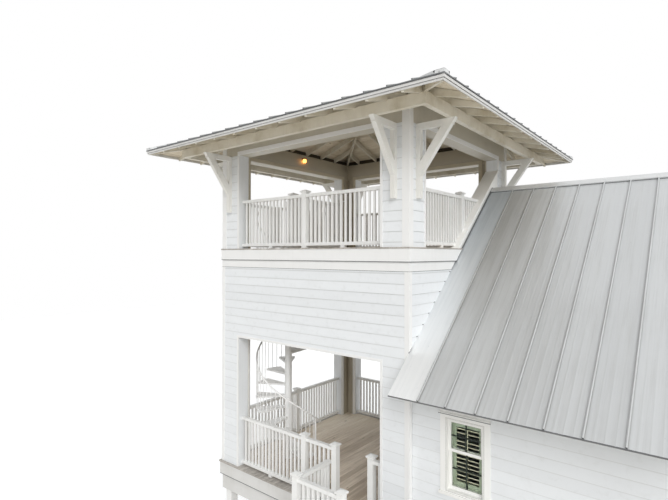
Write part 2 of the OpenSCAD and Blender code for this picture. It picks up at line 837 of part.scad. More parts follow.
module spiral_treads() {
    base_t = 12;
    color(trim_white) for (i = [1 : spiral_n - 1])
        translate([spiral_mid[0], spiral_mid[1], deck_z + i * spiral_riser])
            rotate(spiral_foot - (i - 1) * tread_turn)
                spiral_tread(spiral_riser - joint - (i == 1 ? base_t : 0));
}

rod_ring = spiral_r - 16;
rod_lean = atan(spiral_riser / (tread_turn * PI / 180 * rod_ring));
// Height of the middle of the spiral handrail after a turn from the foot
function grip_z(turn) = deck_z + turn / tread_turn * spiral_riser + grip_up;

// A round baluster from the tread below to the underside of the sloping handrail
module spiral_rod(r, foot, turn) {
    rotate(spiral_foot - turn) translate([rod_ring, 0, 0]) difference() {
        translate([0, 0, foot]) cylinder(r = r, h = grip_z(turn) + grip_r - foot, $fn = 16);
        translate([0, 0, grip_z(turn)]) rotate([-rod_lean, 0, 0])
            translate([-50, -50, -grip_r * cos(22.5) * cos(rod_lean) - joint / 2]) cube(100);
    }
}

module spiral_balusters() {
    step = tread_turn / balusters_per_tread;
    color(trim_white) translate([spiral_mid[0], spiral_mid[1], 0]) {
        for (i = [1 : spiral_n - 1], j = [0 : balusters_per_tread - 1])
            spiral_rod(rod_r, deck_z + i * spiral_riser, (i - 1) * tread_turn + (j + 0.5) * step);
        spiral_rod(1.2 * grip_r, deck_z, -2.2);
    }
}

// A tube with eight sides swept down a helix, as one closed skin
module spiral_handrail() {
    total = (spiral_n - 1) * tread_turn + 12;
    steps = 72;
    sides = 8;
    first = -6;
    rings = [for (i = [0 : steps]) let (turn = first + i * (total - first) / steps, a = spiral_foot - turn)
        [for (k = [0 : sides - 1]) let (b = 22.5 + k * 45, r = rod_ring + grip_r * cos(b))
            [spiral_mid[0] + r * cos(a), spiral_mid[1] + r * sin(a), grip_z(turn) + grip_r * sin(b)]]];
    points = [for (ring = rings) for (p = ring) p];
    last = steps * sides;
    faces = concat(
        [[for (k = [0 : sides - 1]) k]],
        [for (i = [0 : steps - 1], k = [0 : sides - 1]) let (n = (k + 1) % sides)
            [i * sides + k, (i + 1) * sides + k, (i + 1) * sides + n, i * sides + n]],
        [[for (k = [sides - 1 : -1 : 0]) last + k]]);
    color(trim_white) polyhedron(points, faces, convexity = 6);
}

// The landing outside the gap in the rail, its frame notched round two posts
module landing_deck() {
    x0 = -landing_l - newel_b / 2;
    x1 = flight_x;
    y0 = -landing_out - newel_b / 2;
    y1 = -fascia_out - joint;
    frame_z = landing_z - deck_t - landing_frame_d;
    color(weathered) difference() {
        union() {
            block([x0 - 15, y0 - 15, landing_z - deck_t], [x1, y1, landing_z]);
            block([x0, y0, frame_z], [x1 - joint, y1, landing_z - deck_t + 1]);
        }
        block([x0 + rafter_b, y0 + rafter_b, 0], [x1 - rafter_b, y1 - rafter_b, landing_z - deck_t]);
        for (x = [-landing_l, flight_x - newel_b / 2 - 1]) translate([x, 0, 0])
            block([-newel_b / 2 - joint, y0 - 20, 0], [newel_b / 2 + joint, y0 + newel_b + joint, far]);
    }
}

// Outline of one stringer, along X from the landing's edge down to the ground
module stringer_profile() {
    fall = flight_n * flight_riser;
    run = (flight_n - 1) * going;
    polygon([[0, landing_z - 30], [run + going * 0.4, landing_z - fall + flight_riser - 60],
        [run + going * 0.4, 0], [run - 120, 0],
        [0, landing_z - 30 - stringer_d]]);
}

module stair_stringers() {
    color(trim_white) for (y = [stair_front, stair_back - rafter_b])
        translate([flight_x, 0, 0]) along_y(y, y + rafter_b) stringer_profile();
}

module stair_treads() {
    tread_d = 45;
    color(weathered) for (i = [1 : flight_n - 1]) let (z = landing_z - i * flight_riser)
        block([flight_x + (i - 1) * going + 2, stair_front + rafter_b + joint, z - tread_d],
            [flight_x + i * going + 22, stair_back - rafter_b - joint, z]);
}

// Rails of the landing and of the flight, with the posts that carry the landing
module stair_rail() {
    x0 = -landing_l;
    x1 = flight_x - newel_b / 2 - 1;
    y = -landing_out;
    run = (flight_n - 2) * going;
    fall = flight_riser / going * run;
    low = 130;
    high = rail_h - rail_t - 30;
    n = round(run / baluster_gap);
    gap = newel_b / 2 + joint;
    color(trim_white) {
        for (x = [x0, x1]) translate([x, y, 0]) newel(landing_z + rail_h + newel_up);
        translate([x1 + run, y, 0]) newel(landing_z - fall + rail_h + newel_up);
        translate([x0, y + gap, landing_z]) rotate(90) rail_panel(landing_out - fascia_out - gap - joint);
        translate([x0 + gap, y, landing_z]) rail_panel(x1 - x0 - 2 * gap);
        intersection() {
            union() {
                along_y(y - rail_b / 2, y + rail_b / 2) for (z = [landing_z + low, landing_z + high])
                    polygon([[x1, z], [x1 + run, z - fall], [x1 + run, z - fall + rail_t],
                        [x1, z + rail_t]]);
                along_y(y - baluster_b / 2, y + baluster_b / 2) for (i = [1 : n - 1])
                    translate([x1 + i * run / n - baluster_b / 2, landing_z + low + 20 - i * fall / n])
                        square([baluster_b, high - low]);
            }
            block([x1 + gap, -far, 0], [x1 + run - gap, far, far]);
        }
    }
}

// Outline of the wing's end below its roof sheets, between its front and back walls
module gable_outline(y0, y1) {
    polygon([[y0, 0], [y1, 0], [y1, wing_top(y1) - wing_roof_t], [ridge_y, ridge_z - wing_roof_t],
        [y0, wing_top(y0) - wing_roof_t]]);
}

// The wing's front and back walls, with their window openings
module wing_side_walls() {
    color(paint) for (wall = [[wing_in, wing_in + wing_t], [wing_back, wing_back - wing_t]])
        difference() {
            along_x(0, wing_l) polygon([[wall[0], 0], [wall[1], 0],
                [wall[1], wing_top(wall[1]) - wing_roof_t], [wall[0], wing_top(wall[0]) - wing_roof_t]]);
            for (z = window_z)
                block([window_x, min(wall) - 1, z], [window_x + window_w, max(wall) + 1, z + window_h]);
        }
}

// The gable against the tower, and the party wall that ends the wing
module wing_end_walls() {
    color(paint) for (x = [joint, wing_l - wing_t])
        along_x(x, x + wing_t - joint) gable_outline(wing_in + wing_t + joint, wing_back - wing_t - joint);
}

module wing_floors() {
    color(weathered) for (z = [[0, ground_floor_t], [deck_z - 250, deck_z]])
        block([wing_t + joint, wing_in + wing_t + joint, z[0]],
            [wing_l - wing_t - joint, wing_back - wing_t - joint, z[1]]);
}

// One slope of the wing's roof, with its standing seams
module wing_slope_sheet() {
    n = floor((wing_l - flash_w - 20) / wing_seam_gap);
    top_y = ridge_y - ridge_leg - 2;
    along_x(0, wing_l) polygon([[-wing_eave, wing_eave_z], [ridge_y - joint, ridge_z],
        [ridge_y - joint, ridge_z - wing_roof_t], [-wing_eave, wing_eave_z - wing_roof_t]]);
    for (i = [0 : n]) let (x = flash_w + i * wing_seam_gap) along_x(x - 8, x + 8)
        polygon([[8 - wing_eave, wing_eave_z], [top_y, wing_top(top_y) - 5],
            [top_y, wing_top(top_y) + wing_seam_h], [8 - wing_eave, wing_eave_z + wing_seam_h]]);
}

// Both slopes of the wing's roof, under a folded ridge cap
module wing_roof() {
    up = 40;
    color(metal) {
        wing_slope_sheet();
        translate([0, 2 * ridge_y, 0]) mirror([0, 1, 0]) wing_slope_sheet();
        along_x(0, wing_l) polygon([for (at = [[-1, joint], [-1, up], [0, up], [1, up], [1, joint], [0, joint]])
            let (y = ridge_y + at[0] * ridge_leg) [y, wing_top(y) + at[1]]]);
    }
}

// The sloping wall and its cap, closing the lookout's floor off from the wing's roof
module cheek_wall() {
    y0 = cheek_y(lookout_z);
    y1 = tower_d - pier_w - joint;
    rise = (y1 - y0) * wing_slope;
    color(paint) along_x(-wall_t, 0) polygon([[y0, lookout_z], [y1, lookout_z], [y1, lookout_z + rise]]);
    color(trim_white) along_x(-wall_t - 20, 20) polygon([[y0, lookout_z + joint],
        [y1, lookout_z + rise + joint], [y1, lookout_z + rise + cheek_t],
        [y0 - cheek_t / wing_slope, lookout_z + joint]]);
}

sash_b = 48;
liner_t = 22;
sash_t = 32;
// Height of the meeting rails above the window's foot
meeting = 0.56 * window_h;
module window_frame() {
    c = window_casing;
    inner_w = window_w - 2 * liner_t;
    difference() {
        translate([-c, -22, -20]) cube([window_w + 2 * c, 22, window_h + 20 + c + 30]);
        translate([0, -30, 0]) cube([window_w, 40, window_h]);
    }
    translate([-c - 20, -48, -60]) cube([window_w + 2 * c + 40, 48, 42]);
    difference() {
        translate([0, -22, 0]) cube([window_w, wing_t + 10, window_h]);
        translate([liner_t, -30, liner_t]) cube([inner_w, wing_t + 40, window_h - 2 * liner_t]);
    }
    for (sash = [[meeting - 25, window_h - liner_t + 1, 30], [liner_t - 1, meeting + 25, 30 + sash_t]])
        difference() {
            translate([liner_t - 1, sash[2], sash[0]]) cube([inner_w + 2, sash_t, sash[1] - sash[0]]);
            translate([liner_t + sash_b, sash[2] - 1, sash[0] + sash_b])
                cube([inner_w - 2 * sash_b, sash_t + 2, sash[1] - sash[0] - 2 * sash_b]);
        }
}

module window_panes() {
    pane_w = window_w - 2 * (liner_t + sash_b) - joint;
    for (sash = [[meeting - 25, window_h - liner_t + 1, 42], [liner_t - 1, meeting + 25, 42 + sash_t]])
        translate([liner_t + sash_b + joint / 2, sash[2], sash[0] + sash_b + joint / 2])
            cube([pane_w, 6, sash[1] - sash[0] - 2 * sash_b - joint]);
}

// The slatted shutter behind one window: a broad frame, tilted slats and the rod that tilts them
module window_shutter() {
    leaf_w = window_w - 2 * liner_t - joint;
    leaf_h = window_h - 2 * liner_t - 2 * joint;
    open_w = leaf_w - 2 * shutter_stile;
    open_h = leaf_h - 2 * shutter_rail;
    n = floor(open_h / slat_gap);
    translate([liner_t + joint / 2, 106, liner_t + joint]) {
        difference() {
            cube([leaf_w, 26, leaf_h]);
            translate([shutter_stile, -1, shutter_rail]) cube([open_w, 28, open_h]);
        }
        for (i = [0 : n - 1]) translate([shutter_stile - 1, 13, shutter_rail + (i + 0.5) * open_h / n])
            rotate([-35, 0, 0]) translate([0, -20, -4]) cube([open_w + 2, 40, 8]);
        translate([leaf_w / 2 - 6, -10, shutter_rail + 20]) cube([12, 9, open_h - 40]);
    }
}

// Places one thing in each of the wing's window openings, front and back, on both floors
module at_windows() {
    for (z = window_z) {
        translate([window_x, wing_in, z]) children();
        translate([window_x, wing_back, z]) mirror([0, 1, 0]) children();
    }
}

module window_frames() {
    color(trim_white) at_windows() window_frame();
}

module window_glass() {
    color("#8fa39a", 0.5) at_windows() window_panes();
}

module window_shutters() {
    color("#5f6a55") at_windows() window_shutter();
}

// The small lantern on the inside of the left header
module wall_lamp() {
    z = header_z + 265;
    color("#e0a040") translate([-tower_w + wall_t, tower_d / 2 + 60, z]) {
        translate([0, -45, -45]) cube([14, 90, 130]);
        translate([13, -10, 50]) cube([80, 20, 16]);
        translate([80, 0, -70]) cylinder(r = 38, h = 121);
        translate([80, 0, 50]) cylinder(r = 52, h = 18);
    }
}

place() ground_posts();
place() deck_frame();
place() porch_deck();
place() porch_piers();
place() front_wall();
place() left_wall();
place() back_wall();
place() right_wall();
place() trim_boards();
place() floor_band();
place() lookout_floor();
place() lookout_joists();
place() lookout_piers();
place() header_beams();
place() eave_beam();
place() brackets();
place() rafters();
place() roof_boards();
place() roof_fascia();
place() tower_roof();
place() lookout_rail_front();
place() lookout_rail_left();
place() lookout_rail_back();
place() lookout_rail_right();
place() stairwell_rail();
place() porch_rail_front();
place() porch_rail_left();
place() porch_rail_back();
place() spiral_column();
place() spiral_treads();
place() spiral_balusters();
place() spiral_handrail();
place() landing_deck();
place() stair_stringers();
place() stair_treads();
place() stair_rail();
place() wing_side_walls();
place() wing_end_walls();
place() wing_floors();
place() wing_roof();
place() cheek_wall();
place() window_frames();
place() window_glass();
place() window_shutters();
place() wall_lamp();
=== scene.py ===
# %% [markdown]
# # A timber lookout tower
#
# The tower stands against the end of a raised timber house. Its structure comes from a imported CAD
# model, which loads here as a fixed frame: posts, rails, brackets and rafters are already in their
# places and at their real sizes. This lesson gives every piece its finish, and adds what a
# construction model leaves out: lapped siding, deck boards, standing seam sheets, window bars and
# screws. Everything is in metres, +Z is up and the photographed side looks towards -Y and +X.

# %% Load the frame
import math
import random

import bpy
import bmesh
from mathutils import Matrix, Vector
from mathutils.bvhtree import BVHTree


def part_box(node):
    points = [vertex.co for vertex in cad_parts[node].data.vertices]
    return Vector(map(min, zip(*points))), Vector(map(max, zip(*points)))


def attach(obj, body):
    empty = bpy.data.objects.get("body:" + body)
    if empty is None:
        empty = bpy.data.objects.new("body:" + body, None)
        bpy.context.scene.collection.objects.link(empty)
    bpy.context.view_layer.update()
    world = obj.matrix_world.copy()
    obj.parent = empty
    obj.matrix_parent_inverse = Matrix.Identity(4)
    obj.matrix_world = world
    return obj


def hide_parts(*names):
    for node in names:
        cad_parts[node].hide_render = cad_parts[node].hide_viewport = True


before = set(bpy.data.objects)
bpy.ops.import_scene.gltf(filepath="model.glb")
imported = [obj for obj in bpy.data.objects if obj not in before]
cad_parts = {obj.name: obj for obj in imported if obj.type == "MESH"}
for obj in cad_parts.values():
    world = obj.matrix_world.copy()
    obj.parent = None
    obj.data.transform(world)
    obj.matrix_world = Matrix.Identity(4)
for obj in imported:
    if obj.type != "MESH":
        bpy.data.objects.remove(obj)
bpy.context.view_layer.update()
print("CAD nodes:", len(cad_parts))

# %% [markdown]
# ## Where things are
#
# A piece that dresses a wall must follow that wall. So no place is typed in twice: the corners of the
# CAD nodes give the planes that the new pieces are built on. `low` and `high` are the two corners of
# a node's box.

# %% Read the main planes from the frame
def low(node):
    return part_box(node)[0]


def high(node):
    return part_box(node)[1]


UP = Vector((0, 0, 1))
TOWER_LEFT, TOWER_FRONT = low("front_wall").x, low("front_wall").y
TOWER_RIGHT, TOWER_BACK = high("front_wall").x, high("back_wall").y
DECK_Z = high("porch_deck").z
PORCH_HEAD_Z = low("front_wall").z
BAND_LOW_Z = low("floor_band").z
LOOKOUT_Z = high("lookout_floor").z
WING_FRONT, WING_BACK = low("wing_side_walls").y, high("wing_side_walls").y
WING_END = high("wing_end_walls").x
print(f"tower {TOWER_RIGHT - TOWER_LEFT:.2f} x {TOWER_BACK - TOWER_FRONT:.2f} m,",
      f"deck at {DECK_Z:.2f} m, lookout at {LOOKOUT_Z:.2f} m")

# %% [markdown]
# ## Camera, floor and light
#
# The photograph was taken from the height of the lookout's floor, looking level at the tower's front
# right corner. A camera of the same place and lens gives the same perspective. The floor and the
# world are white to the camera, to mirrors and to glass, while both light the tower at a plain level,
# so that a colour renders about as it is written. Two large soft lamps give the boards their shade.

# %% Place the camera
def new_object(name, data):
    made = bpy.data.objects.new(name, data)
    bpy.context.scene.collection.objects.link(made)
    return made


camera_data = bpy.data.cameras.new("camera")
camera_data.sensor_width = 36.0
camera_data.lens = 25.113
camera = new_object("camera", camera_data)
camera.location = (4.9508, -10.1778, 7.9227)
camera.rotation_euler = (math.radians(90.5551), math.radians(-0.083), math.radians(39.1154))
bpy.context.scene.camera = camera
bpy.context.scene.view_settings.view_transform = "Standard"
print("camera at", [round(v, 2) for v in camera.location])


# %% Helpers that add a node and feed its sockets
def add(tree, kind, feeds=None, **settings):
    made = tree.nodes.new(kind)
    for name, value in settings.items():
        setattr(made, name, value)
    for key, value in (feeds or {}).items():
        socket = made.inputs[key]
        if isinstance(value, bpy.types.NodeSocket):
            tree.links.new(value, socket)
        else:
            socket.default_value = value
    return made


def maths(tree, operation, a, b=0.0, c=0.0):
    return add(tree, "ShaderNodeMath", {0: a, 1: b, 2: c}, operation=operation).outputs[0]


def xyz(tree, x=0.0, y=0.0, z=0.0):
    return add(tree, "ShaderNodeCombineXYZ", {0: x, 1: y, 2: z}).outputs[0]


def split(tree, vector):
    return add(tree, "ShaderNodeSeparateXYZ", {0: vector}).outputs


def white_to_camera(tree):
    """1 for rays from the camera and for those that a mirror or a pane passes on."""
    path = add(tree, "ShaderNodeLightPath").outputs
    seen = maths(tree, "MAXIMUM", path["Is Camera Ray"], path["Is Glossy Ray"])
    return maths(tree, "MAXIMUM", seen, path["Is Transmission Ray"])


# %% Make the floor
FLOOR_HALF = 60.0
FLOOR_GLOW = 0.45
floor_mesh = bpy.data.meshes.new("floor")
floor_mesh.from_pydata([(x * FLOOR_HALF, y * FLOOR_HALF, 0) for x, y in ((-1, -1), (1, -1), (1, 1), (-1, 1))],
                       [], [(0, 1, 2, 3)])
floor = new_object("floor", floor_mesh)
floor_look = bpy.data.materials.new("floor_pale")
floor_look.use_nodes = True
floor_tree = floor_look.node_tree
floor_shader = floor_tree.nodes["Principled BSDF"]
floor_shader.inputs["Base Color"].default_value = (0.84, 0.81, 0.76, 1)
floor_shader.inputs["Roughness"].default_value = 0.9
glow = maths(floor_tree, "MULTIPLY", white_to_camera(floor_tree), FLOOR_GLOW)
white_glow = add(floor_tree, "ShaderNodeEmission", {"Color": (0.85, 0.92, 1.0, 1), "Strength": glow})
both = add(floor_tree, "ShaderNodeAddShader", {0: floor_shader.outputs[0], 1: white_glow.outputs[0]})
floor_tree.links.new(both.outputs[0], floor_tree.nodes["Material Output"].inputs["Surface"])
floor.data.materials.append(floor_look)
print("floor", 2 * FLOOR_HALF, "m wide")

# %% Make the sky and the lamps
SKY_LIGHT = 0.6
world = bpy.data.worlds.new("soft_sky")
bpy.context.scene.world = world
world.use_nodes = True
sky = world.node_tree
plain_light = add(sky, "ShaderNodeBackground", {"Color": (0.97, 0.985, 1.0, 1), "Strength": SKY_LIGHT})
white_view = add(sky, "ShaderNodeBackground", {"Color": (1, 1, 1, 1), "Strength": 1.0})
pick = add(sky, "ShaderNodeMixShader", {0: white_to_camera(sky), 1: plain_light.outputs[0],
                                        2: white_view.outputs[0]})
sky.links.new(pick.outputs[0], sky.nodes["World Output"].inputs["Surface"])


def soft_sun(name, strength, spread, turn):
    data = bpy.data.lights.new(name, "SUN")
    data.energy = strength
    data.angle = math.radians(spread)
    new_object(name, data).rotation_euler = [math.radians(v) for v in turn]


soft_sun("key_light", 1.45, 35, (60, 0, 46))
soft_sun("fill_light", 0.55, 100, (66, 0, 88))


# %% [markdown]
# ## Shader groups
#
# Several finishes share an effect. Paint outdoors collects faint vertical dirt runs. Bare deck
# timber is grey with long grain. Sheet metal shows pale runs down the slope. Photographs of each
# would show their own light and repeat on every board, so the effects are made of noise. Each is one
# node group with named inputs, which every material places with its own values. The groups read a
# place in metres, put out colour, roughness and height, and leave the shader to the material.

# %% Helpers for shader groups
def shader_group(name, inputs):
    tree = bpy.data.node_groups.new(name, "ShaderNodeTree")
    for label, kind, value in inputs:
        socket = tree.interface.new_socket(label, in_out="INPUT", socket_type="NodeSocket" + kind)
        if value is not None:
            socket.default_value = value
    for label, kind in (("Color", "Color"), ("Roughness", "Float"), ("Height", "Float")):
        tree.interface.new_socket(label, in_out="OUTPUT", socket_type="NodeSocket" + kind)
    return tree, tree.nodes.new("NodeGroupInput").outputs, tree.nodes.new("NodeGroupOutput").inputs


def stretched(tree, place, scale):
    return add(tree, "ShaderNodeVectorMath", {0: place, 1: scale}, operation="MULTIPLY").outputs[0]


def noise(tree, place, scale, detail, rough):
    return add(tree, "ShaderNodeTexNoise", {"Vector": place, "Scale": scale, "Detail": detail,
                                            "Roughness": rough}).outputs["Fac"]


def ramp(tree, value, start, end, low_value=0.0, high_value=1.0):
    return add(tree, "ShaderNodeMapRange", {"Value": value, "From Min": start, "From Max": end,
                                            "To Min": low_value, "To Max": high_value},
               interpolation_type="SMOOTHSTEP").outputs["Result"]


def mix_colour(tree, share, a, b, blend="MIX"):
    made = add(tree, "ShaderNodeMix", {0: share, 6: a, 7: b}, data_type="RGBA", blend_type=blend)
    return made.outputs[2]


def toned(tree, colour, board, spread):
    """The colour, darker or lighter by up to half the spread, as the board's number says."""
    tone = maths(tree, "MULTIPLY_ADD", board, spread, 1 - spread / 2)
    grey = add(tree, "ShaderNodeCombineColor", {0: tone, 1: tone, 2: tone}).outputs[0]
    return mix_colour(tree, 1.0, colour, grey, "MULTIPLY")


def put_out(tree, sockets, colour, roughness, height):
    for label, value in (("Color", colour), ("Roughness", roughness), ("Height", height)):
        tree.links.new(value, sockets[label])
    print(tree.name, "has", len(tree.nodes), "nodes")


# %% Painted film: tone from board to board, dirt runs, brush marks and painted shade under the laps
LAP = 0.177
film, given, out = shader_group("Painted film", [
    ("Place", "Vector", None), ("Board", "Float", 0.5), ("Paint", "Color", (0.8, 0.8, 0.8, 1)),
    ("Dirt", "Color", (0.35, 0.33, 0.28, 1)), ("Runs", "Float", 0.15), ("Blotches", "Float", 0.1),
    ("Brush", "Vector", (6.0, 6.0, 90.0)), ("Painted lap shade", "Float", 0.0)])
runs = noise(film, stretched(film, given["Place"], (9.0, 9.0, 0.55)), 1.0, 6.0, 0.62)
runs = maths(film, "MULTIPLY", ramp(film, runs, 0.5, 0.78), given["Runs"])
blotches = ramp(film, noise(film, given["Place"], 1.3, 5.0, 0.6), 0.42, 0.75)
specks = ramp(film, noise(film, given["Place"], 38.0, 3.0, 0.7), 0.62, 0.8)
blotches = maths(film, "MULTIPLY", maths(film, "MULTIPLY_ADD", specks, 0.5, blotches), given["Blotches"])
height_in_board = split(film, given["Place"])[1]
# a dark band at the top of each course, just under the butt of the course above: painted shade under the laps
lap_shade_mask = maths(film, "MULTIPLY", ramp(film, height_in_board, LAP - 0.022, LAP - 0.003), given["Painted lap shade"])
soil = maths(film, "ADD", lap_shade_mask, maths(film, "ADD", runs, blotches))
brush = noise(film, stretched(film, given["Place"], given["Brush"]), 1.0, 3.0, 0.6)
put_out(film, out, mix_colour(film, soil, toned(film, given["Paint"], given["Board"], 0.05), given["Dirt"]),
        maths(film, "MULTIPLY_ADD", blotches, 0.5, maths(film, "MULTIPLY_ADD", brush, 0.12, 0.4)), brush)

# %% Weathered timber: long fibres, silvered bands and dark knots
grain, given, out = shader_group("Weathered timber", [
    ("Place", "Vector", None), ("Board", "Float", 0.5), ("Pale", "Color", (0.55, 0.5, 0.43, 1)),
    ("Deep", "Color", (0.3, 0.26, 0.21, 1)), ("Knot", "Color", (0.1, 0.08, 0.06, 1))])
shift = xyz(grain, *(maths(grain, "MULTIPLY", given["Board"], step) for step in (31.0, 7.0)))
shifted = add(grain, "ShaderNodeVectorMath", {0: given["Place"], 1: shift}, operation="ADD").outputs[0]
bands = noise(grain, stretched(grain, shifted, (0.9, 22.0, 22.0)), 1.0, 5.0, 0.6)
fibres = noise(grain, stretched(grain, shifted, (5.0, 260.0, 260.0)), 1.0, 3.0, 0.7)
patches = noise(grain, shifted, 1.7, 4.0, 0.5)
mask = maths(grain, "MULTIPLY_ADD", fibres, 0.45, maths(grain, "MULTIPLY_ADD", patches, 0.35, bands))
mask = ramp(grain, maths(grain, "MULTIPLY_ADD", given["Board"], 0.3, mask), 0.72, 1.4)
timber = mix_colour(grain, mask, given["Deep"], given["Pale"])
knots = add(grain, "ShaderNodeTexVoronoi", {"Vector": stretched(grain, shifted, (1.6, 6.5, 6.5)),
                                            "Scale": 1.0, "Randomness": 1.0}).outputs["Distance"]
knots = ramp(grain, knots, 0.05, 0.11, 1.0, 0.0)
put_out(grain, out, mix_colour(grain, knots, timber, given["Knot"]),
        maths(grain, "MULTIPLY_ADD", fibres, 0.25, 0.62), maths(grain, "MULTIPLY_ADD", fibres, 0.6, bands))

# %% Coated sheet metal: runs down the slope, clouding, spots, and painted shade up the slope and beside the seams
sheet, given, out = shader_group("Coated sheet", [
    ("Place", "Vector", None), ("Board", "Float", 0.5), ("Coat", "Color", (0.55, 0.56, 0.57, 1)),
    ("Stain", "Color", (0.36, 0.35, 0.33, 1)), ("Runs", "Float", 0.5), ("Top shade", "Float", 0.0),
    ("Seam dirt and shade", "Float", 0.0)])
runs = noise(sheet, stretched(sheet, given["Place"], (0.35, 11.0, 1.0)), 1.0, 6.0, 0.6)
fine = noise(sheet, stretched(sheet, given["Place"], (1.4, 70.0, 1.0)), 1.0, 3.0, 0.6)
clouds = noise(sheet, given["Place"], 0.8, 4.0, 0.55)
stain = maths(sheet, "MULTIPLY_ADD", fine, 0.35, maths(sheet, "MULTIPLY_ADD", clouds, 0.5, runs))
stain = maths(sheet, "MULTIPLY", ramp(sheet, stain, 0.75, 1.25), given["Runs"])
up_slope, _, from_seam = split(sheet, given["Place"])
# Top shade darkens the sheet towards the top of the slope as painted shade, or lightens it where it is negative
stain = maths(sheet, "MULTIPLY_ADD", ramp(sheet, up_slope, 0.0, 5.0), given["Top shade"], stain)
# darker beside each seam: dirt, and painted shade in the crease
seam_dirt_and_shade = ramp(sheet, from_seam, 0.004, 0.03, 1.0, 0.0)
stain = maths(sheet, "MULTIPLY_ADD", seam_dirt_and_shade, given["Seam dirt and shade"], stain)
spots = ramp(sheet, noise(sheet, given["Place"], 24.0, 2.0, 0.5), 0.7, 0.78, 0.0, 0.35)
coat = mix_colour(sheet, spots, toned(sheet, given["Coat"], given["Board"], 0.1), given["Stain"])
put_out(sheet, out, mix_colour(sheet, stain, coat, given["Stain"]),
        maths(sheet, "MULTIPLY_ADD", clouds, 0.2, 0.32), maths(sheet, "MULTIPLY_ADD", fine, 0.3, clouds))


# %% [markdown]
# ## Materials
#
# A material places one group, gives it the finish's colours and keeps what is the same all over on
# the Principled shader itself. CAD pieces read their own object coordinates. Boards and sheets that
# are made further down carry two attributes: `grain_at`, a place measured along and across the
# board, and `board`, a number from 0 to 1 that shifts its tone. On a real tower the white is many
# whites: trim is brushed warmer than siding. What hangs in the shade gets darker, warmer paints,
# which are painted shade.

# %% A helper that makes a finish from a group
def finish(name, group, values, bump, metallic=0.0, attributes=False, gloss=0.5):
    """values go to the group's inputs, a colour as three numbers. bump is a strength and a depth."""
    look = bpy.data.materials.new(name)
    look.use_nodes = True
    tree = look.node_tree
    shader = tree.nodes["Principled BSDF"]
    made = add(tree, "ShaderNodeGroup", node_tree=group)
    for label, value in values.items():
        socket = made.inputs[label]
        socket.default_value = (*value, 1) if socket.type == "RGBA" else value
    if attributes:
        place = add(tree, "ShaderNodeAttribute", attribute_name="grain_at").outputs["Vector"]
        board = add(tree, "ShaderNodeAttribute", attribute_name="board").outputs["Fac"]
        tree.links.new(board, made.inputs["Board"])
    else:
        place = add(tree, "ShaderNodeTexCoord").outputs["Object"]
    tree.links.new(place, made.inputs["Place"])
    raised = add(tree, "ShaderNodeBump", {"Height": made.outputs["Height"], "Strength": bump[0],
                                          "Distance": bump[1]})
    tree.links.new(made.outputs["Color"], shader.inputs["Base Color"])
    tree.links.new(made.outputs["Roughness"], shader.inputs["Roughness"])
    tree.links.new(raised.outputs["Normal"], shader.inputs["Normal"])
    shader.inputs["Metallic"].default_value = metallic
    shader.inputs["Specular IOR Level"].default_value = gloss
    return look


def painted(name, paint, dirt, runs, blotches, brush, bump=(0.3, 0.0006), painted_lap_shade=0.0, **rest):
    values = {"Dirt": dirt, "Runs": runs, "Blotches": blotches, "Brush": brush, "Painted lap shade": painted_lap_shade}
    if paint:
        values["Paint"] = paint
    return finish(name, film, values, bump, **rest)


# %% Paints for rows of boards
COOL_WHITE = (0.825, 0.845, 0.86)
WARM_WHITE = (0.875, 0.875, 0.865)
FINE_BUMP, COARSE_BUMP, SMOOTH_BUMP = (0.25, 0.0006), (0.35, 0.0008), (0.2, 0.0004)
ALONG_LAPS, ALONG_BOARDS, UPRIGHT = (1.5, 1.5, 60.0), (3.0, 60.0, 60.0), (60.0, 60.0, 3.0)
siding_paint = painted("siding_paint", COOL_WHITE, (0.42, 0.42, 0.38), 0.12, 0.05, ALONG_LAPS, FINE_BUMP,
                       painted_lap_shade=0.35, attributes=True)
# A darker copy of the siding paint, which keeps the brightly lit far gable from glaring: painted shade.
party_paint = painted("party_paint", (0.66, 0.675, 0.69), (0.3, 0.3, 0.27), 0.16, 0.08, ALONG_LAPS, FINE_BUMP,
                      painted_lap_shade=0.35, attributes=True)
soffit_paint = painted("soffit_paint", WARM_WHITE, (0.42, 0.4, 0.34), 0.1, 0.08, ALONG_BOARDS, FINE_BUMP,
                       attributes=True)
# The lining's darker, warmer taupe stands in for the shade inside the tower: painted shade.
lining_paint = painted("lining_paint", (0.5, 0.455, 0.365), (0.34, 0.3, 0.22), 0.1, 0.14, ALONG_BOARDS,
                       attributes=True)
print("paints for rows of boards:", len(bpy.data.materials) - 1)

# %% Paints for the frame, brushed along each timber
wall_paint = painted("wall_paint", COOL_WHITE, (0.4, 0.4, 0.36), 0.14, 0.06, (6.0, 6.0, 90.0), FINE_BUMP)
trim_paint = painted("trim_paint", WARM_WHITE, (0.4, 0.38, 0.33), 0.06, 0.07, UPRIGHT)
casing_paint = painted("casing_paint", (0.93, 0.925, 0.9), (0.46, 0.44, 0.36), 0.06, 0.08, UPRIGHT)
# The lookout's beige casings stand in for the shade inside the lookout: painted shade.
room_casing_paint = painted("room_casing_paint", (0.62, 0.56, 0.43), (0.46, 0.44, 0.36), 0.06, 0.08, UPRIGHT)
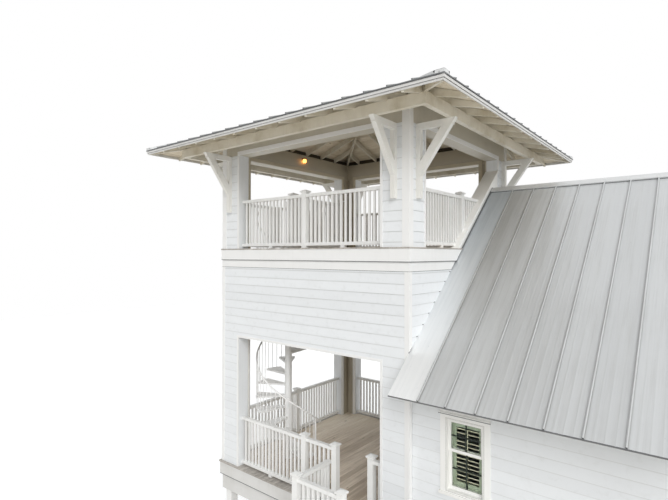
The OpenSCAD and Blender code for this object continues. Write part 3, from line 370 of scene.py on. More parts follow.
# Fascia, header and beam paints are darker, warmer whites for faces in shade: painted shade. The beam's blotches
# are dirt.
fascia_paint = painted("fascia_paint", (0.71, 0.705, 0.69), (0.34, 0.31, 0.25), 0.12, 0.14, (9.0, 9.0, 60.0))
header_paint = painted("header_paint", (0.64, 0.605, 0.52), (0.36, 0.31, 0.22), 0.12, 0.2, (9.0, 9.0, 60.0))
bracket_paint = painted("bracket_paint", (0.85, 0.84, 0.8), (0.38, 0.34, 0.26), 0.12, 0.12, (40.0, 40.0, 6.0))
rail_paint = painted("rail_paint", (0.88, 0.88, 0.865), (0.3, 0.27, 0.2), 0.14, 0.12, (70.0, 70.0, 4.0),
                     COARSE_BUMP)
beam_paint = painted("beam_paint", (0.75, 0.71, 0.61), (0.4, 0.33, 0.2), 0.2, 0.6, (9.0, 9.0, 50.0), COARSE_BUMP)
shutter_paint = painted("shutter_paint", None, (0.2, 0.18, 0.13), 0.15, 0.25, (4.0, 90.0, 90.0), (0.3, 0.0005))
steel_paint = painted("steel_paint", (0.92, 0.92, 0.91), (0.4, 0.28, 0.18), 0.1, 0.1, (40.0,) * 3,
                      (0.15, 0.0004), gloss=0.6)
bar_paint = painted("bar_paint", (0.03, 0.04, 0.033), (0.1, 0.1, 0.08), 0.2, 0.2, (60.0,) * 3, SMOOTH_BUMP,
                    gloss=0.15)
seal_rubber = painted("seal_rubber", (0.42, 0.42, 0.38), (0.2, 0.19, 0.15), 0.2, 0.2, (60.0,) * 3, SMOOTH_BUMP,
                      gloss=0.2)
bronze = painted("bronze", (0.05, 0.042, 0.035), (0.14, 0.12, 0.08), 0.25, 0.3, (90.0,) * 3, SMOOTH_BUMP,
                 metallic=0.6)
# A dark cloth for the gaps over the headers, where there is only shade: painted shade.
vent_cloth = painted("vent_cloth", (0.06, 0.05, 0.035), (0.12, 0.1, 0.06), 0.2, 0.4, (300.0,) * 3, (0.4, 0.0004),
                     gloss=0.1)
print("paints:", len(bpy.data.materials) - 1)

# %% Timbers
deck_timber = finish("deck_timber", grain, {"Knot": (0.32, 0.25, 0.18)}, (0.5, 0.0012), attributes=True)
ceiling_timber = finish("ceiling_timber", grain, {
    "Pale": (0.94, 0.86, 0.71), "Deep": (0.72, 0.635, 0.49), "Knot": (0.4, 0.33, 0.23)},
    (0.4, 0.001), attributes=True)
plain_timber = finish("plain_timber", grain, {
    "Pale": (0.72, 0.68, 0.61), "Deep": (0.5, 0.455, 0.39), "Knot": (0.22, 0.18, 0.13)}, (0.4, 0.001))
print("timbers:", deck_timber.name, ceiling_timber.name, plain_timber.name)

# %% Metals
roof_sheet = finish("roof_sheet", sheet, {
    "Coat": (0.62, 0.633, 0.637), "Stain": (0.4, 0.4, 0.385), "Runs": 0.5, "Seam dirt and shade": 0.55},
    (0.3, 0.002), metallic=0.35, attributes=True)
flashing_sheet = finish("flashing_sheet", sheet, {
    "Coat": (0.92, 0.93, 0.93), "Stain": (0.4, 0.44, 0.47), "Runs": 0.2, "Top shade": 0.78},
    (0.3, 0.002), metallic=0.35, attributes=True)
cap_sheet = finish("cap_sheet", sheet, {
    "Coat": (0.74, 0.75, 0.75), "Stain": (0.42, 0.42, 0.41), "Runs": 0.4}, (0.3, 0.001), metallic=0.35)
edge_sheet = finish("edge_sheet", sheet, {
    "Coat": (0.17, 0.175, 0.18), "Stain": (0.09, 0.09, 0.09), "Runs": 0.5}, (0.3, 0.001), metallic=0.4)
screw_steel = finish("screw_steel", sheet, {
    "Coat": (0.5, 0.43, 0.36), "Stain": (0.24, 0.18, 0.13), "Runs": 0.6}, (0.3, 0.0005), metallic=0.3)
print("finishes:", len(bpy.data.materials) - 1)

# %% [markdown]
# ## Glass and the lit jar
#
# Panes outdoors carry a dusty film. A pane that is all glass would vanish, and a grey one would hide
# the shutters. So the painted film only tints it, and the shader lets light through: a low index of
# refraction keeps thin glass from bending what is behind it. The lamp's jar glows with its own
# colour, so the film's stains show on it as they do on old amber glass.

# %% Window panes and the jar
window_pane = painted("window_pane", (0.93, 0.98, 0.94), (0.8, 0.82, 0.76), 0.2, 0.2, (2.0, 2.0, 5.0),
                      (0.05, 0.0004))
pane_inputs = window_pane.node_tree.nodes["Principled BSDF"].inputs
window_pane.node_tree.links.remove(pane_inputs["Roughness"].links[0])
for label, value in (("Roughness", 0.03), ("Transmission Weight", 1.0), ("IOR", 1.12)):
    pane_inputs[label].default_value = value

amber_glow = painted("amber_glow", (1.0, 0.43, 0.1), (0.8, 0.22, 0.03), 0.4, 0.4, (60.0, 60.0, 20.0), (0.2, 0.0006))
amber_inputs = amber_glow.node_tree.nodes["Principled BSDF"].inputs
amber_glow.node_tree.links.new(amber_inputs["Base Color"].links[0].from_socket, amber_inputs["Emission Color"])
amber_inputs["Emission Strength"].default_value = 4.0
print("glass:", window_pane.name, amber_glow.name)

# %% [markdown]
# ## Weather, painted light and slats, by place
#
# Three finishes change over a piece. The shutters are sage leaves with paler slats. The wing's sheets
# are darker beside the tower, a painted reflection of its shaded wall. Deck boards turn grey beyond
# the rails, and a painted pool of light brightens them towards one corner of the porch. Painting
# such masks by hand would tie them to one mesh, so they are worked out from the place in the room
# and linked to the inputs of each group.


# %% Helpers for masks
def parts_of(look):
    """The tree of a finish, the inputs of its group and the place in the room along X, Y and Z."""
    tree = look.node_tree
    group = next(node for node in tree.nodes if node.type == "GROUP")
    place = add(tree, "ShaderNodeTexCoord").outputs["Object"]
    return tree, group.inputs, *split(tree, place)


def within(tree, value, start, end):
    """1 where the value lies between start and end."""
    above = maths(tree, "GREATER_THAN", value, start)
    return maths(tree, "MULTIPLY", above, maths(tree, "LESS_THAN", value, end))


# %% Shutters: sage leaves with paler slats
GROUND_FLOOR_Z = 0.12
WINDOW_STEP = DECK_Z - GROUND_FLOOR_Z
SHUTTER_STILE, SHUTTER_RAIL = 0.1, 0.12
SAGE, SLAT = (0.42, 0.46, 0.35, 1), (0.86, 0.8, 0.6, 1)
leaf_low, leaf_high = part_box("window_shutters")
leaf_h = leaf_high.z - leaf_low.z - WINDOW_STEP
tree, inputs, x, y, z = parts_of(shutter_paint)
in_width = within(tree, x, leaf_low.x + SHUTTER_STILE, leaf_high.x - SHUTTER_STILE)
in_height = [within(tree, z, foot + SHUTTER_RAIL, foot + leaf_h - SHUTTER_RAIL)
             for foot in (leaf_low.z, leaf_low.z + WINDOW_STEP)]
slats = maths(tree, "MULTIPLY", in_width, maths(tree, "ADD", *in_height))
tree.links.new(mix_colour(tree, slats, SAGE, SLAT), inputs["Paint"])
print(f"slats between {leaf_low.x + SHUTTER_STILE:.2f} and {leaf_high.x - SHUTTER_STILE:.2f} m")

# %% The wing's sheets darker beside the tower: a painted reflection of its shaded wall
tower_side = high("right_wall").x
tree, inputs, x, y, z = parts_of(roof_sheet)
# tower_reflection_shade darkens the sheets near the tower wall: a painted reflection of the wall's shade
tower_reflection_shade = ramp(tree, x, tower_side + 0.3, tower_side + 2.0, 1.0, 0.0)
tower_reflection_shade = maths(tree, "MULTIPLY", tower_reflection_shade, maths(tree, "LESS_THAN", z, high("wing_roof").z + 0.1))
tree.links.new(maths(tree, "MULTIPLY_ADD", tower_reflection_shade, 0.95, -0.2), inputs["Top shade"])
print(f"sheets darker from {tower_side + 2.0:.2f} m towards the tower")

# %% Deck boards out in the weather, and a painted pool of light on the porch
RAIL_IN = 0.16
DECK_TONES = {"Pale": ((0.56, 0.525, 0.485, 1), (0.93, 0.82, 0.69, 1), (1.0, 0.93, 0.8, 1)),
              "Deep": ((0.34, 0.315, 0.285, 1), (0.52, 0.43, 0.34, 1), (0.84, 0.73, 0.59, 1))}
tree, inputs, x, y, z = parts_of(deck_timber)
sheltered = within(tree, x, low("left_wall").x + RAIL_IN, tower_side)
sheltered = maths(tree, "MULTIPLY", sheltered, within(tree, y, TOWER_FRONT + RAIL_IN, TOWER_BACK - RAIL_IN))
# far_corner brightens the boards towards the back left corner of the porch: a painted pool of light
far_corner = ramp(tree, maths(tree, "SUBTRACT", y, x), 0.5, 4.5)
for label, (grey, brown, painted_sunlight) in DECK_TONES.items():
    inside = mix_colour(tree, far_corner, brown, painted_sunlight)
    tree.links.new(mix_colour(tree, sheltered, grey, inside), inputs[label])
print("boards sheltered from", round(TOWER_FRONT + RAIL_IN, 2), "to", round(TOWER_BACK - RAIL_IN, 2), "m")

# %% [markdown]
# ## Dressing the frame
#
# Every CAD node keeps its shape and gets one finish. A painter would do the same: all rails from one
# pot, all trim from another. A table of finishes and nodes shows at a glance what is painted alike.

# %% Dress the CAD nodes
CAD_FINISH = {
    wall_paint: ["porch_piers", "front_wall", "left_wall", "back_wall", "right_wall", "lookout_piers",
                 "wing_side_walls", "wing_end_walls"],
    casing_paint: ["window_frames", "cheek_wall"],
    fascia_paint: ["roof_fascia", "deck_frame"],
    bracket_paint: ["brackets"],
    header_paint: ["header_beams"],
    trim_paint: ["trim_boards", "floor_band", "ground_posts", "stair_stringers", "lookout_joists"],
    beam_paint: ["eave_beam", "rafters"],
    rail_paint: ["lookout_rail_front", "lookout_rail_left", "lookout_rail_back", "lookout_rail_right",
                 "stairwell_rail", "porch_rail_front", "porch_rail_left", "porch_rail_back",
                 "stair_rail"],
    steel_paint: ["spiral_column", "spiral_treads", "spiral_balusters", "spiral_handrail"],
    shutter_paint: ["window_shutters"],
    plain_timber: ["porch_deck", "lookout_floor", "landing_deck", "stair_treads", "wing_floors",
                   "roof_boards"],
    edge_sheet: ["tower_roof", "wing_roof"],
    bronze: ["wall_lamp"],
    window_pane: ["window_glass"],
}
for look, names in CAD_FINISH.items():
    for name in names:
        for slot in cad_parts[name].material_slots:
            slot.material = look
print("dressed nodes:", sum(len(names) for names in CAD_FINISH.values()))


# %% [markdown]
# ## Lapped siding
#
# The walls are clad in narrow boards whose lower edges stand over the boards below. A flat wall with
# stripes would lose the shadow under each lap, so every course is a real wedge: thick at its lower
# edge, thin at its upper one. A panel's outline is cut into courses at heights that are the same on
# every wall, so the laps meet round the corners, as a carpenter sets them out with a storey rod.

# %% Build a piece from closed solids
def mesh_of(bm, name):
    mesh = bpy.data.meshes.new(name)
    bm.to_mesh(mesh)
    bm.free()
    return mesh


def lay_piece(name, mesh, look, slot, *replaced):
    """Puts a mesh into the scene as a piece with one finish. replaced are the CAD nodes it stands for."""
    mesh.name = name
    mesh.materials.clear()
    mesh.materials.append(look)
    piece = new_object(name, mesh)
    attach(piece, "root")
    if replaced:
        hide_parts(*replaced)
    print(name, len(mesh.polygons), "faces")
    return piece


def new_piece(name, bm, look, slot, *replaced):
    bmesh.ops.recalc_face_normals(bm, faces=bm.faces)
    return lay_piece(name, mesh_of(bm, name), look, slot, *replaced)


# %% Clad a wall panel with wedges
LAP_BUTT, LAP_TIP = 0.0145, 0.003
FRIEZE_H = 0.4415
LAP_START = LOOKOUT_Z - FRIEZE_H - 60 * LAP
TONES = 61
BOARD_SHIFT = 3.1


def keep_side(outline, distance):
    """The part of an outline of (along, up) where the distance isn't negative."""
    kept = []
    for i, here in enumerate(outline):
        there = outline[(i + 1) % len(outline)]
        a, b = distance(here), distance(there)
        if a >= 0:
            kept.append(here)
        if (a >= 0) != (b >= 0):
            share = a / (a - b)
            kept.append(tuple(p + (q - p) * share for p, q in zip(here, there)))
    return kept


def clad(bm, outline, to_room, tones):
    """Fills an outline of (along, up) with courses. to_room(along, up, out) gives the place in the room."""
    grain_at = bm.verts.layers.float_vector["grain_at"]
    board = bm.verts.layers.float["board"]
    first, last = (int((pick(p[1] for p in outline) - LAP_START) / LAP) for pick in (min, max))
    for k in range(first, last + 1):
        z0 = LAP_START + k * LAP
        course = keep_side(outline, lambda p: p[1] - z0)
        course = keep_side(course, lambda p: z0 + LAP - p[1]) if len(course) > 2 else []
        if len(course) < 3:
            continue
        back, front = [], []
        for out, ring in ((0, back), (1, front)):
            for u, z in course:
                proud = LAP_BUTT + (LAP_TIP - LAP_BUTT) * (z - z0) / LAP
                vert = bm.verts.new(to_room(u, z, proud * out))
                vert[grain_at] = (u + BOARD_SHIFT * k, z - z0, z)
                vert[board] = tones[k % TONES]
                ring.append(vert)
        bm.faces.new(front)
        bm.faces.new(back[::-1])
        for i in range(len(front)):
            j = (i + 1) % len(front)
            bm.faces.new((front[i], back[i], back[j], front[j]))


# %% Clad a list of panels as one piece
def siding(name, panels, seed, paint=siding_paint):
    """Clads panels, each a list of outlines and the wall that they lie on."""
    bm = bmesh.new()
    bm.verts.layers.float_vector.new("grain_at")
    bm.verts.layers.float.new("board")
    draw = random.Random(seed)
    tones = [draw.random() for _ in range(TONES)]
    for outlines, to_room in panels:
        for outline in outlines:
            clad(bm, outline, to_room, tones)
    new_piece(name, bm, paint, "white_siding")


# %% Say which way each wall faces
def wall_along_x(y, turn):
    """A wall at one y, whose outside looks to +Y where turn is 1 and to -Y where it is -1."""
    return lambda u, z, out: (u, y + turn * out, z)


def wall_along_y(x, turn):
    return lambda u, z, out: (x + turn * out, u, z)


front_wall, back_wall = wall_along_x(TOWER_FRONT, -1), wall_along_x(TOWER_BACK, 1)
left_wall, right_wall = wall_along_y(TOWER_LEFT, -1), wall_along_y(TOWER_RIGHT, 1)
WING_SIDES = ((WING_FRONT, -1), (WING_BACK, 1))
wing_walls = [wall_along_x(y, turn) for y, turn in WING_SIDES]
gable_wall, end_wall = wall_along_y(TOWER_RIGHT, -1), wall_along_y(WING_END, 1)


def rectangle(u0, u1, z0, z1):
    return [(u0, z0), (u1, z0), (u1, z1), (u0, z1)]


# %% Lay out the tower's panels between the corner boards, the casings and the frieze
PIER = TOWER_RIGHT - high("lookout_rail_front").x
CORNER_LOW, CORNER_HIGH = 0.075, 0.12
CASING = 0.05
LOOKOUT_CLAD_TOP = LOOKOUT_Z + 2.09


def pier_panels(u0, u1, corner, z0, z1):
    """The panels of the two piers at the ends of one face."""
    return [rectangle(u0 + corner, u0 + PIER - CASING, z0, z1),
            rectangle(u1 - PIER + CASING, u1 - corner, z0, z1)]


def storey_panels(u0, u1):
    """The panels of one face between the deck and the frieze."""
    head = PORCH_HEAD_Z + CASING
    return [rectangle(u0 + CORNER_LOW, u1 - CORNER_LOW, head, BAND_LOW_Z),
            *pier_panels(u0, u1, CORNER_LOW, DECK_Z, head)]


# %% Measure the wing's roof
WING_PITCH = math.radians(39.9)
WING_SHEET = 0.062
WING_EAVE_Z = low("wing_roof").z + WING_SHEET
WING_EAVES = low("wing_roof").y, high("wing_roof").y
WING_RIDGE_Y = sum(WING_EAVES) / 2
SLOPE_RUN = math.tan(WING_PITCH)


def wing_top(y):
    """Height of the wing roof's sheet over a line from front to back."""
    return WING_EAVE_Z + min(y - WING_EAVES[0], WING_EAVES[1] - y) * SLOPE_RUN


print(f"ridge at {wing_top(WING_RIDGE_Y):.3f} m")

# %% Clad the tower
ACROSS, DEEP = (TOWER_LEFT, TOWER_RIGHT), (TOWER_FRONT, TOWER_BACK)
OVER_SHEET, OVER_CHEEK = 0.02, 0.05
for k, (side, span, wall) in enumerate((("front", ACROSS, front_wall), ("back", ACROSS, back_wall),
                                        ("left", DEEP, left_wall))):
    siding("siding_tower_" + side, [(storey_panels(*span), wall)], 1 + k)
above_roof = keep_side(rectangle(TOWER_FRONT + CORNER_LOW, TOWER_BACK, DECK_Z, BAND_LOW_Z),
                       lambda p: p[1] - wing_top(min(p[0], WING_RIDGE_Y)) - OVER_SHEET)
siding("siding_tower_right", [([above_roof], right_wall)], 4)
across, deep = (pier_panels(*span, CORNER_HIGH, LOOKOUT_Z, LOOKOUT_CLAD_TOP) for span in (ACROSS, DEEP))
beside_cheek = keep_side(deep[1], lambda p: p[1] - wing_top(p[0]) - OVER_CHEEK)
siding("siding_lookout", [(across, front_wall), (across, back_wall), (deep, left_wall), (deep[:1], right_wall),
                          ([beside_cheek], right_wall)], 5)

# %% Clad the wing round its windows and under the tower's deck
windows_low, windows_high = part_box("window_frames")
WINDOW_TRIM_H = windows_high.z - windows_low.z - WINDOW_STEP
WALL_TOP = wing_top(WING_FRONT) - WING_SHEET
ABOVE_RIDGE = WING_EAVE_Z + 6
UNDER_TRIM = 0.02
window_left, window_right = windows_low.x + UNDER_TRIM, windows_high.x - UNDER_TRIM
sills = [windows_low.z, windows_low.z + WINDOW_STEP]
heads = [z + WINDOW_TRIM_H for z in sills]
wing_side = [rectangle(TOWER_RIGHT, window_left, 0, WALL_TOP), rectangle(window_right, WING_END, 0, WALL_TOP),
             *(rectangle(window_left, window_right, z0, z1)
               for z0, z1 in ((0, sills[0]), (heads[0], sills[1]), (heads[1], WALL_TOP)))]
gable_back = keep_side(rectangle(TOWER_BACK + 0.002, WING_BACK, 0, ABOVE_RIDGE),
                       lambda p: wing_top(p[0]) - WING_SHEET - p[1])
under_deck = rectangle(WING_FRONT, TOWER_BACK, 0, low("deck_frame").z)
siding("siding_wing", [*((wing_side, wall) for wall in wing_walls), ([gable_back, under_deck], gable_wall)], 6)

# %% Clad the wing's far gable, where the photograph cuts the house
END_BOARD = 0.09
RAKE_H = 0.17
gable_end = rectangle(WING_FRONT + END_BOARD, WING_BACK - END_BOARD, 0, ABOVE_RIDGE)
for eave_y, turn in zip(WING_EAVES, (1, -1)):
    gable_end = keep_side(gable_end, lambda p: WING_EAVE_Z + (p[0] - eave_y) * turn * SLOPE_RUN - RAKE_H - p[1])
siding("siding_wing_end", [([gable_end], end_wall)], 7, party_paint)


# %% [markdown]
# ## Boards from a Geometry Nodes tree
#
# Decks, ceilings and soffits are rows of equal boards. Single board objects would be hundreds of
# pieces to place, and an array modifier would make them all alike. One tree makes them instead: a
# rounded board profile is swept along X, and copies are set side by side along Y. Each copy draws its
# own number, which the timber finish turns into tone and grain. The tree ends by realizing its
# copies, and the result becomes a plain mesh before it is laid in its place.

# %% Helpers for Geometry Nodes trees
def geometry_tree(name, inputs):
    tree = bpy.data.node_groups.new(name, "GeometryNodeTree")
    for label, kind, value in inputs:
        socket = tree.interface.new_socket(label, in_out="INPUT", socket_type="NodeSocket" + kind)
        if value is not None:
            socket.default_value = value
    tree.interface.new_socket("Geometry", in_out="OUTPUT", socket_type="NodeSocketGeometry")
    return tree, tree.nodes.new("NodeGroupInput").outputs, tree.nodes.new("NodeGroupOutput").inputs[0]


def store(tree, geometry, name, kind, value, domain="POINT"):
    return add(tree, "GeometryNodeStoreNamedAttribute", {"Geometry": geometry, "Name": name, "Value": value},
               data_type=kind, domain=domain).outputs[0]


def draw_number(tree, low_value, high_value, seed):
    return add(tree, "FunctionNodeRandomValue", {2: low_value, 3: high_value, 8: seed},
               data_type="FLOAT").outputs[1]


def moved(tree, geometry, offset):
    return add(tree, "GeometryNodeSetPosition", {"Geometry": geometry, "Offset": offset}).outputs[0]


def swept(tree, curve, profile):
    return add(tree, "GeometryNodeCurveToMesh", {"Curve": curve, "Profile Curve": profile,
                                                 "Fill Caps": True}).outputs[0]


def in_a_row(tree, thing, given, seed, start=(0, 0, 0)):
    """Copies side by side, as many and as far apart as the tree's inputs say, each with its own tone."""
    points = add(tree, "GeometryNodeMeshLine", {"Count": given["Count"], "Start Location": start,
                                                "Offset": xyz(tree, 0.0, given["Pitch"])}).outputs[0]
    row = add(tree, "GeometryNodeInstanceOnPoints", {"Points": points, "Instance": thing}).outputs[0]
    return store(tree, row, "board", "FLOAT", draw_number(tree, 0.0, 1.0, seed), "INSTANCE")


def finished(tree, geometry, material, end):
    real = add(tree, "GeometryNodeRealizeInstances", {0: geometry}).outputs[0]
    covered = add(tree, "GeometryNodeSetMaterial", {"Geometry": real, "Material": material})
    tree.links.new(covered.outputs[0], end)
    print(tree.name, "has", len(tree.nodes), "nodes")


# %% Run a tree and keep its result as a mesh
def grown(tree, base=None, **values):
    """Runs a tree with the given inputs and returns the result as a plain mesh."""
    seed_object = new_object("seed", base or bpy.data.meshes.new("seed"))
    modifier = seed_object.modifiers.new("tree", "NODES")
    modifier.node_group = tree
    for item in tree.interface.items_tree:
        label = item.name.replace(" ", "_")
        if item.in_out == "INPUT" and label in values:
            modifier[item.identifier] = values[label]
    return evaluated(seed_object)


def evaluated(*helpers):
    """The first object's mesh after its modifiers, as a mesh of its own. The helpers go."""
    bpy.context.view_layer.update()
    made = bpy.data.meshes.new_from_object(helpers[0].evaluated_get(bpy.context.evaluated_depsgraph_get()))
    for helper in helpers:
        bpy.data.objects.remove(helper)
    return made


# %% The tree that lays a row of boards
boards, given, end = geometry_tree("Row of boards", [
    ("Length", "Float", 1.0), ("Pitch", "Float", 0.14), ("Gap", "Float", 0.005), ("Thickness", "Float", 0.028),
    ("Ease", "Float", 0.003), ("Count", "Int", 10), ("Seed", "Int", 0), ("Material", "Material", None)])
wide = maths(boards, "SUBTRACT", given["Pitch"], given["Gap"])
profile = add(boards, "GeometryNodeCurvePrimitiveQuadrilateral", {"Width": wide,
                                                                  "Height": given["Thickness"]}).outputs[0]
profile = add(boards, "GeometryNodeFilletCurve", {"Curve": profile, "Radius": given["Ease"]}).outputs[0]
path = add(boards, "GeometryNodeCurvePrimitiveLine", {"Start": (0, 0, 0), "End": xyz(boards, given["Length"])})
board = swept(boards, path.outputs[0], profile)
board = store(boards, board, "grain_at", "FLOAT_VECTOR", add(boards, "GeometryNodeInputPosition").outputs[0])
first = xyz(boards, 0.0, maths(boards, "MULTIPLY", given["Pitch"], 0.5),
            maths(boards, "MULTIPLY", given["Thickness"], -0.5))
finished(boards, in_a_row(boards, board, given, given["Seed"], first), given["Material"], end)


# %% Helpers that turn, cut and join meshes
def turned(mesh, corner, along, across):
    """Moves a mesh so that its X runs along, its Y across and its origin lies at corner."""
    x = Vector(along).normalized()
    z = x.cross(Vector(across)).normalized()
    y = z.cross(x)
    for vert in mesh.vertices:
        vert.co = Vector(corner) + x * vert.co.x + y * vert.co.y + z * vert.co.z
    return mesh


def opened(mesh, weld=0.0):
    bm = bmesh.new()
    bm.from_mesh(mesh)
    if weld:
        bmesh.ops.remove_doubles(bm, verts=bm.verts, dist=weld)
    return bm


def cut(bm, planes, close=True):
    """Cuts away what lies beyond each plane, given as a point and an outward direction."""
    for point, outward in planes:
        made = bmesh.ops.bisect_plane(bm, geom=bm.verts[:] + bm.edges[:] + bm.faces[:], plane_co=point,
                                      plane_no=outward, clear_outer=True)
        if close:
            edges = [e for e in made["geom_cut"] if isinstance(e, bmesh.types.BMEdge)]
            bmesh.ops.holes_fill(bm, edges=edges)
    return bm


def pour(bm, into):
    """Adds one bmesh to another."""
    into.from_mesh(mesh_of(bm, "part"))


# %% Copy a CAD node, and trim boards to it
def cad_copy(node, grow=0.0):
    """A merged copy of a CAD node, its top and base moved outwards."""
    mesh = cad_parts[node].data.copy()
    bm = opened(mesh, 0.0001)
    for vert in bm.verts:
        if abs(vert.co.z - high(node).z) < 0.0002:
            vert.co.z += grow
        elif abs(vert.co.z - low(node).z) < 0.0002:
            vert.co.z -= grow
    bm.to_mesh(mesh)
    bm.free()
    return mesh


def trimmed_to(mesh, cutter_mesh):
    """The part of a mesh that lies inside another."""
    cutter, blank = new_object("cutter", cutter_mesh), new_object("blank", mesh)
    saw = blank.modifiers.new("saw", "BOOLEAN")
    saw.operation = "INTERSECT"
    saw.solver = "EXACT"
    saw.object = cutter
    return evaluated(blank, cutter)


# %% Lay boards, and cut them to a CAD floor's outline
def marked(mesh, corner, along, across, pitch, seed):
    """Gives each vertex its place on its own board again, and the board its tone, after a cut."""
    corner, x, y = Vector(corner), Vector(along), Vector(across)
    for name, kind in (("grain_at", "FLOAT_VECTOR"), ("board", "FLOAT")):
        if name in mesh.attributes:
            mesh.attributes.remove(mesh.attributes[name])
        mesh.attributes.new(name, kind, "POINT")
    draw = random.Random(seed)
    board_tones = [draw.random() for _ in range(60)]
    places, tones = mesh.attributes["grain_at"].data, mesh.attributes["board"].data
    for vert in mesh.vertices:
        offset = vert.co - corner
        k = int(offset.dot(y) / pitch)
        places[vert.index].vector = (offset.dot(x), offset.dot(y) - (k + 0.5) * pitch, offset.z)
        tones[vert.index].value = board_tones[k % 60]
    return mesh


def board_floor(name, node, pitch, thickness, seed, along_x=False):
    """Boards over a whole CAD floor node, cut to its outline, its holes and its notches."""
    corner, far_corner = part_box(node)
    length, width = far_corner.y - corner.y, far_corner.x - corner.x
    laid = (far_corner.x, corner.y, far_corner.z), (0, 1, 0), (-1, 0, 0)
    if along_x:
        length, width = width, length
        laid = (corner.x, corner.y, far_corner.z), (1, 0, 0), (0, 1, 0)
    count = round(width / pitch)
    rows = grown(boards, Length=length, Pitch=width / count, Thickness=thickness, Count=count, Seed=seed,
                 Material=deck_timber)
    rows = marked(trimmed_to(turned(rows, *laid), cad_copy(node, 0.01)), *laid, width / count, seed)
    lay_piece(name, rows, deck_timber, "deck_timber", node)


BOARD_H = 0.028
board_floor("porch_boards", "porch_deck", 0.14, BOARD_H, 11)
board_floor("lookout_boards", "lookout_floor", 0.14, 0.025, 12)
board_floor("landing_boards", "landing_deck", 0.16, BOARD_H, 13, along_x=True)

# %% Keep the landing's frame under its boards
under_boards = Vector((0, 0, high("landing_deck").z - BOARD_H))
bm = cut(opened(cad_copy("landing_deck")), [(under_boards, UP)])
new_piece("landing_frame", bm, trim_paint, "white_trim", "landing_deck")


# %% [markdown]
# ## Sheet metal roofs
#
# A standing seam roof is a row of long pans whose edges are folded up against each other. A flat
# sheet with a bump texture would stay straight at its edges and mirror like glass. So each pan is a
# grid that a tree bends: narrow stiffening ribs run up the slope, and a slow noise buckles the metal
# between the seams, which is what breaks up its reflections. A second tree makes the folded seams.

# %% The tree that makes pans
ROWS_UP, STEPS_ACROSS = 25, 33
RIB_SHARPNESS = 6.0
pans, given, end = geometry_tree("Roof pans", [
    ("Length", "Float", 4.0), ("Pitch", "Float", 0.44), ("Count", "Int", 8), ("Rib", "Float", 0.004),
    ("Ribs", "Int", 4), ("Buckle", "Float", 0.004), ("Seed", "Int", 0), ("Material", "Material", None)])
grid = add(pans, "GeometryNodeMeshGrid", {"Size X": given["Length"], "Size Y": given["Pitch"],
                                          "Vertices X": ROWS_UP, "Vertices Y": STEPS_ACROSS})
here = add(pans, "GeometryNodeInputPosition").outputs[0]
half_pan = maths(pans, "MULTIPLY", given["Pitch"], 0.5)
pan = moved(pans, grid.outputs[0], xyz(pans, maths(pans, "MULTIPLY", given["Length"], 0.5), half_pan))
up_slope, across, _ = split(pans, here)
off_centre = maths(pans, "ABSOLUTE", maths(pans, "SUBTRACT", across, half_pan))
from_seam = maths(pans, "SUBTRACT", half_pan, off_centre)
pan = store(pans, pan, "grain_at", "FLOAT_VECTOR", xyz(pans, up_slope, across, from_seam))
row = in_a_row(pans, pan, given, given["Seed"])
real = add(pans, "GeometryNodeRealizeInstances", {0: row}).outputs[0]
turns = maths(pans, "MULTIPLY", maths(pans, "DIVIDE", across, given["Pitch"]), given["Ribs"])
crest = maths(pans, "COSINE", maths(pans, "MULTIPLY", turns, 2 * math.pi))
crest = maths(pans, "POWER", maths(pans, "MAXIMUM", crest, 0.0), RIB_SHARPNESS)
slow = add(pans, "ShaderNodeTexNoise", {"Vector": stretched(pans, here, (0.8, 3.0, 1.0)), "Scale": 1.0,
                                        "Detail": 2.0}).outputs[0]
rise = maths(pans, "MULTIPLY_ADD", crest, given["Rib"], maths(pans, "MULTIPLY", slow, given["Buckle"]))
finished(pans, moved(pans, real, xyz(pans, 0.0, 0.0, rise)), given["Material"], end)

# %% The tree that makes folded seams
FOLD_H = 0.009
seams, given, end = geometry_tree("Roof seams", [
    ("Length", "Float", 4.0), ("Pitch", "Float", 0.44), ("Count", "Int", 8), ("Height", "Float", 0.034),
    ("Blade", "Float", 0.014), ("Fold", "Float", 0.022), ("Material", "Material", None)])
path = add(seams, "GeometryNodeCurvePrimitiveLine", {"Start": (0, 0, 0), "End": xyz(seams, given["Length"])})
seam = add(seams, "GeometryNodeJoinGeometry")
for width, tall, middle in ((given["Blade"], given["Height"], 0.5), (given["Fold"], FOLD_H, 1.0)):
    outline = add(seams, "GeometryNodeCurvePrimitiveQuadrilateral", {"Width": width, "Height": tall}).outputs[0]
    up = xyz(seams, 0.0, 0.0, maths(seams, "MULTIPLY", given["Height"], middle))
    bar = add(seams, "GeometryNodeTransform", {"Geometry": swept(seams, path.outputs[0], outline),
                                               "Translation": up})
    seams.links.new(bar.outputs[0], seam.inputs[0])
seam = store(seams, seam.outputs[0], "grain_at", "FLOAT_VECTOR",
             add(seams, "GeometryNodeInputPosition").outputs[0])
finished(seams, in_a_row(seams, seam, given, 5), given["Material"], end)


# %% Lay one slope
SHEET_METAL = 0.003


def thickened(bm):
    bmesh.ops.recalc_face_normals(bm, faces=bm.faces)
    bmesh.ops.solidify(bm, geom=bm.faces[:], thickness=SHEET_METAL)
    return bm


def roof_slope(bm, place, length, pitch, count, planes, seed, rib, seam, buckle=0.004):
    """Adds one slope's pans and seams. place is its corner, the way up and the way across."""
    flat = grown(pans, Length=length, Pitch=pitch, Count=count, Rib=rib, Buckle=buckle, Seed=seed,
                 Material=roof_sheet)
    pour(thickened(cut(opened(turned(flat, *place), 0.0002), planes, close=False)), bm)
    folds = grown(seams, Length=length, Pitch=pitch, Count=count + 1, Height=seam, Material=roof_sheet)
    pour(cut(opened(turned(folds, *place), 0.00001), planes), bm)


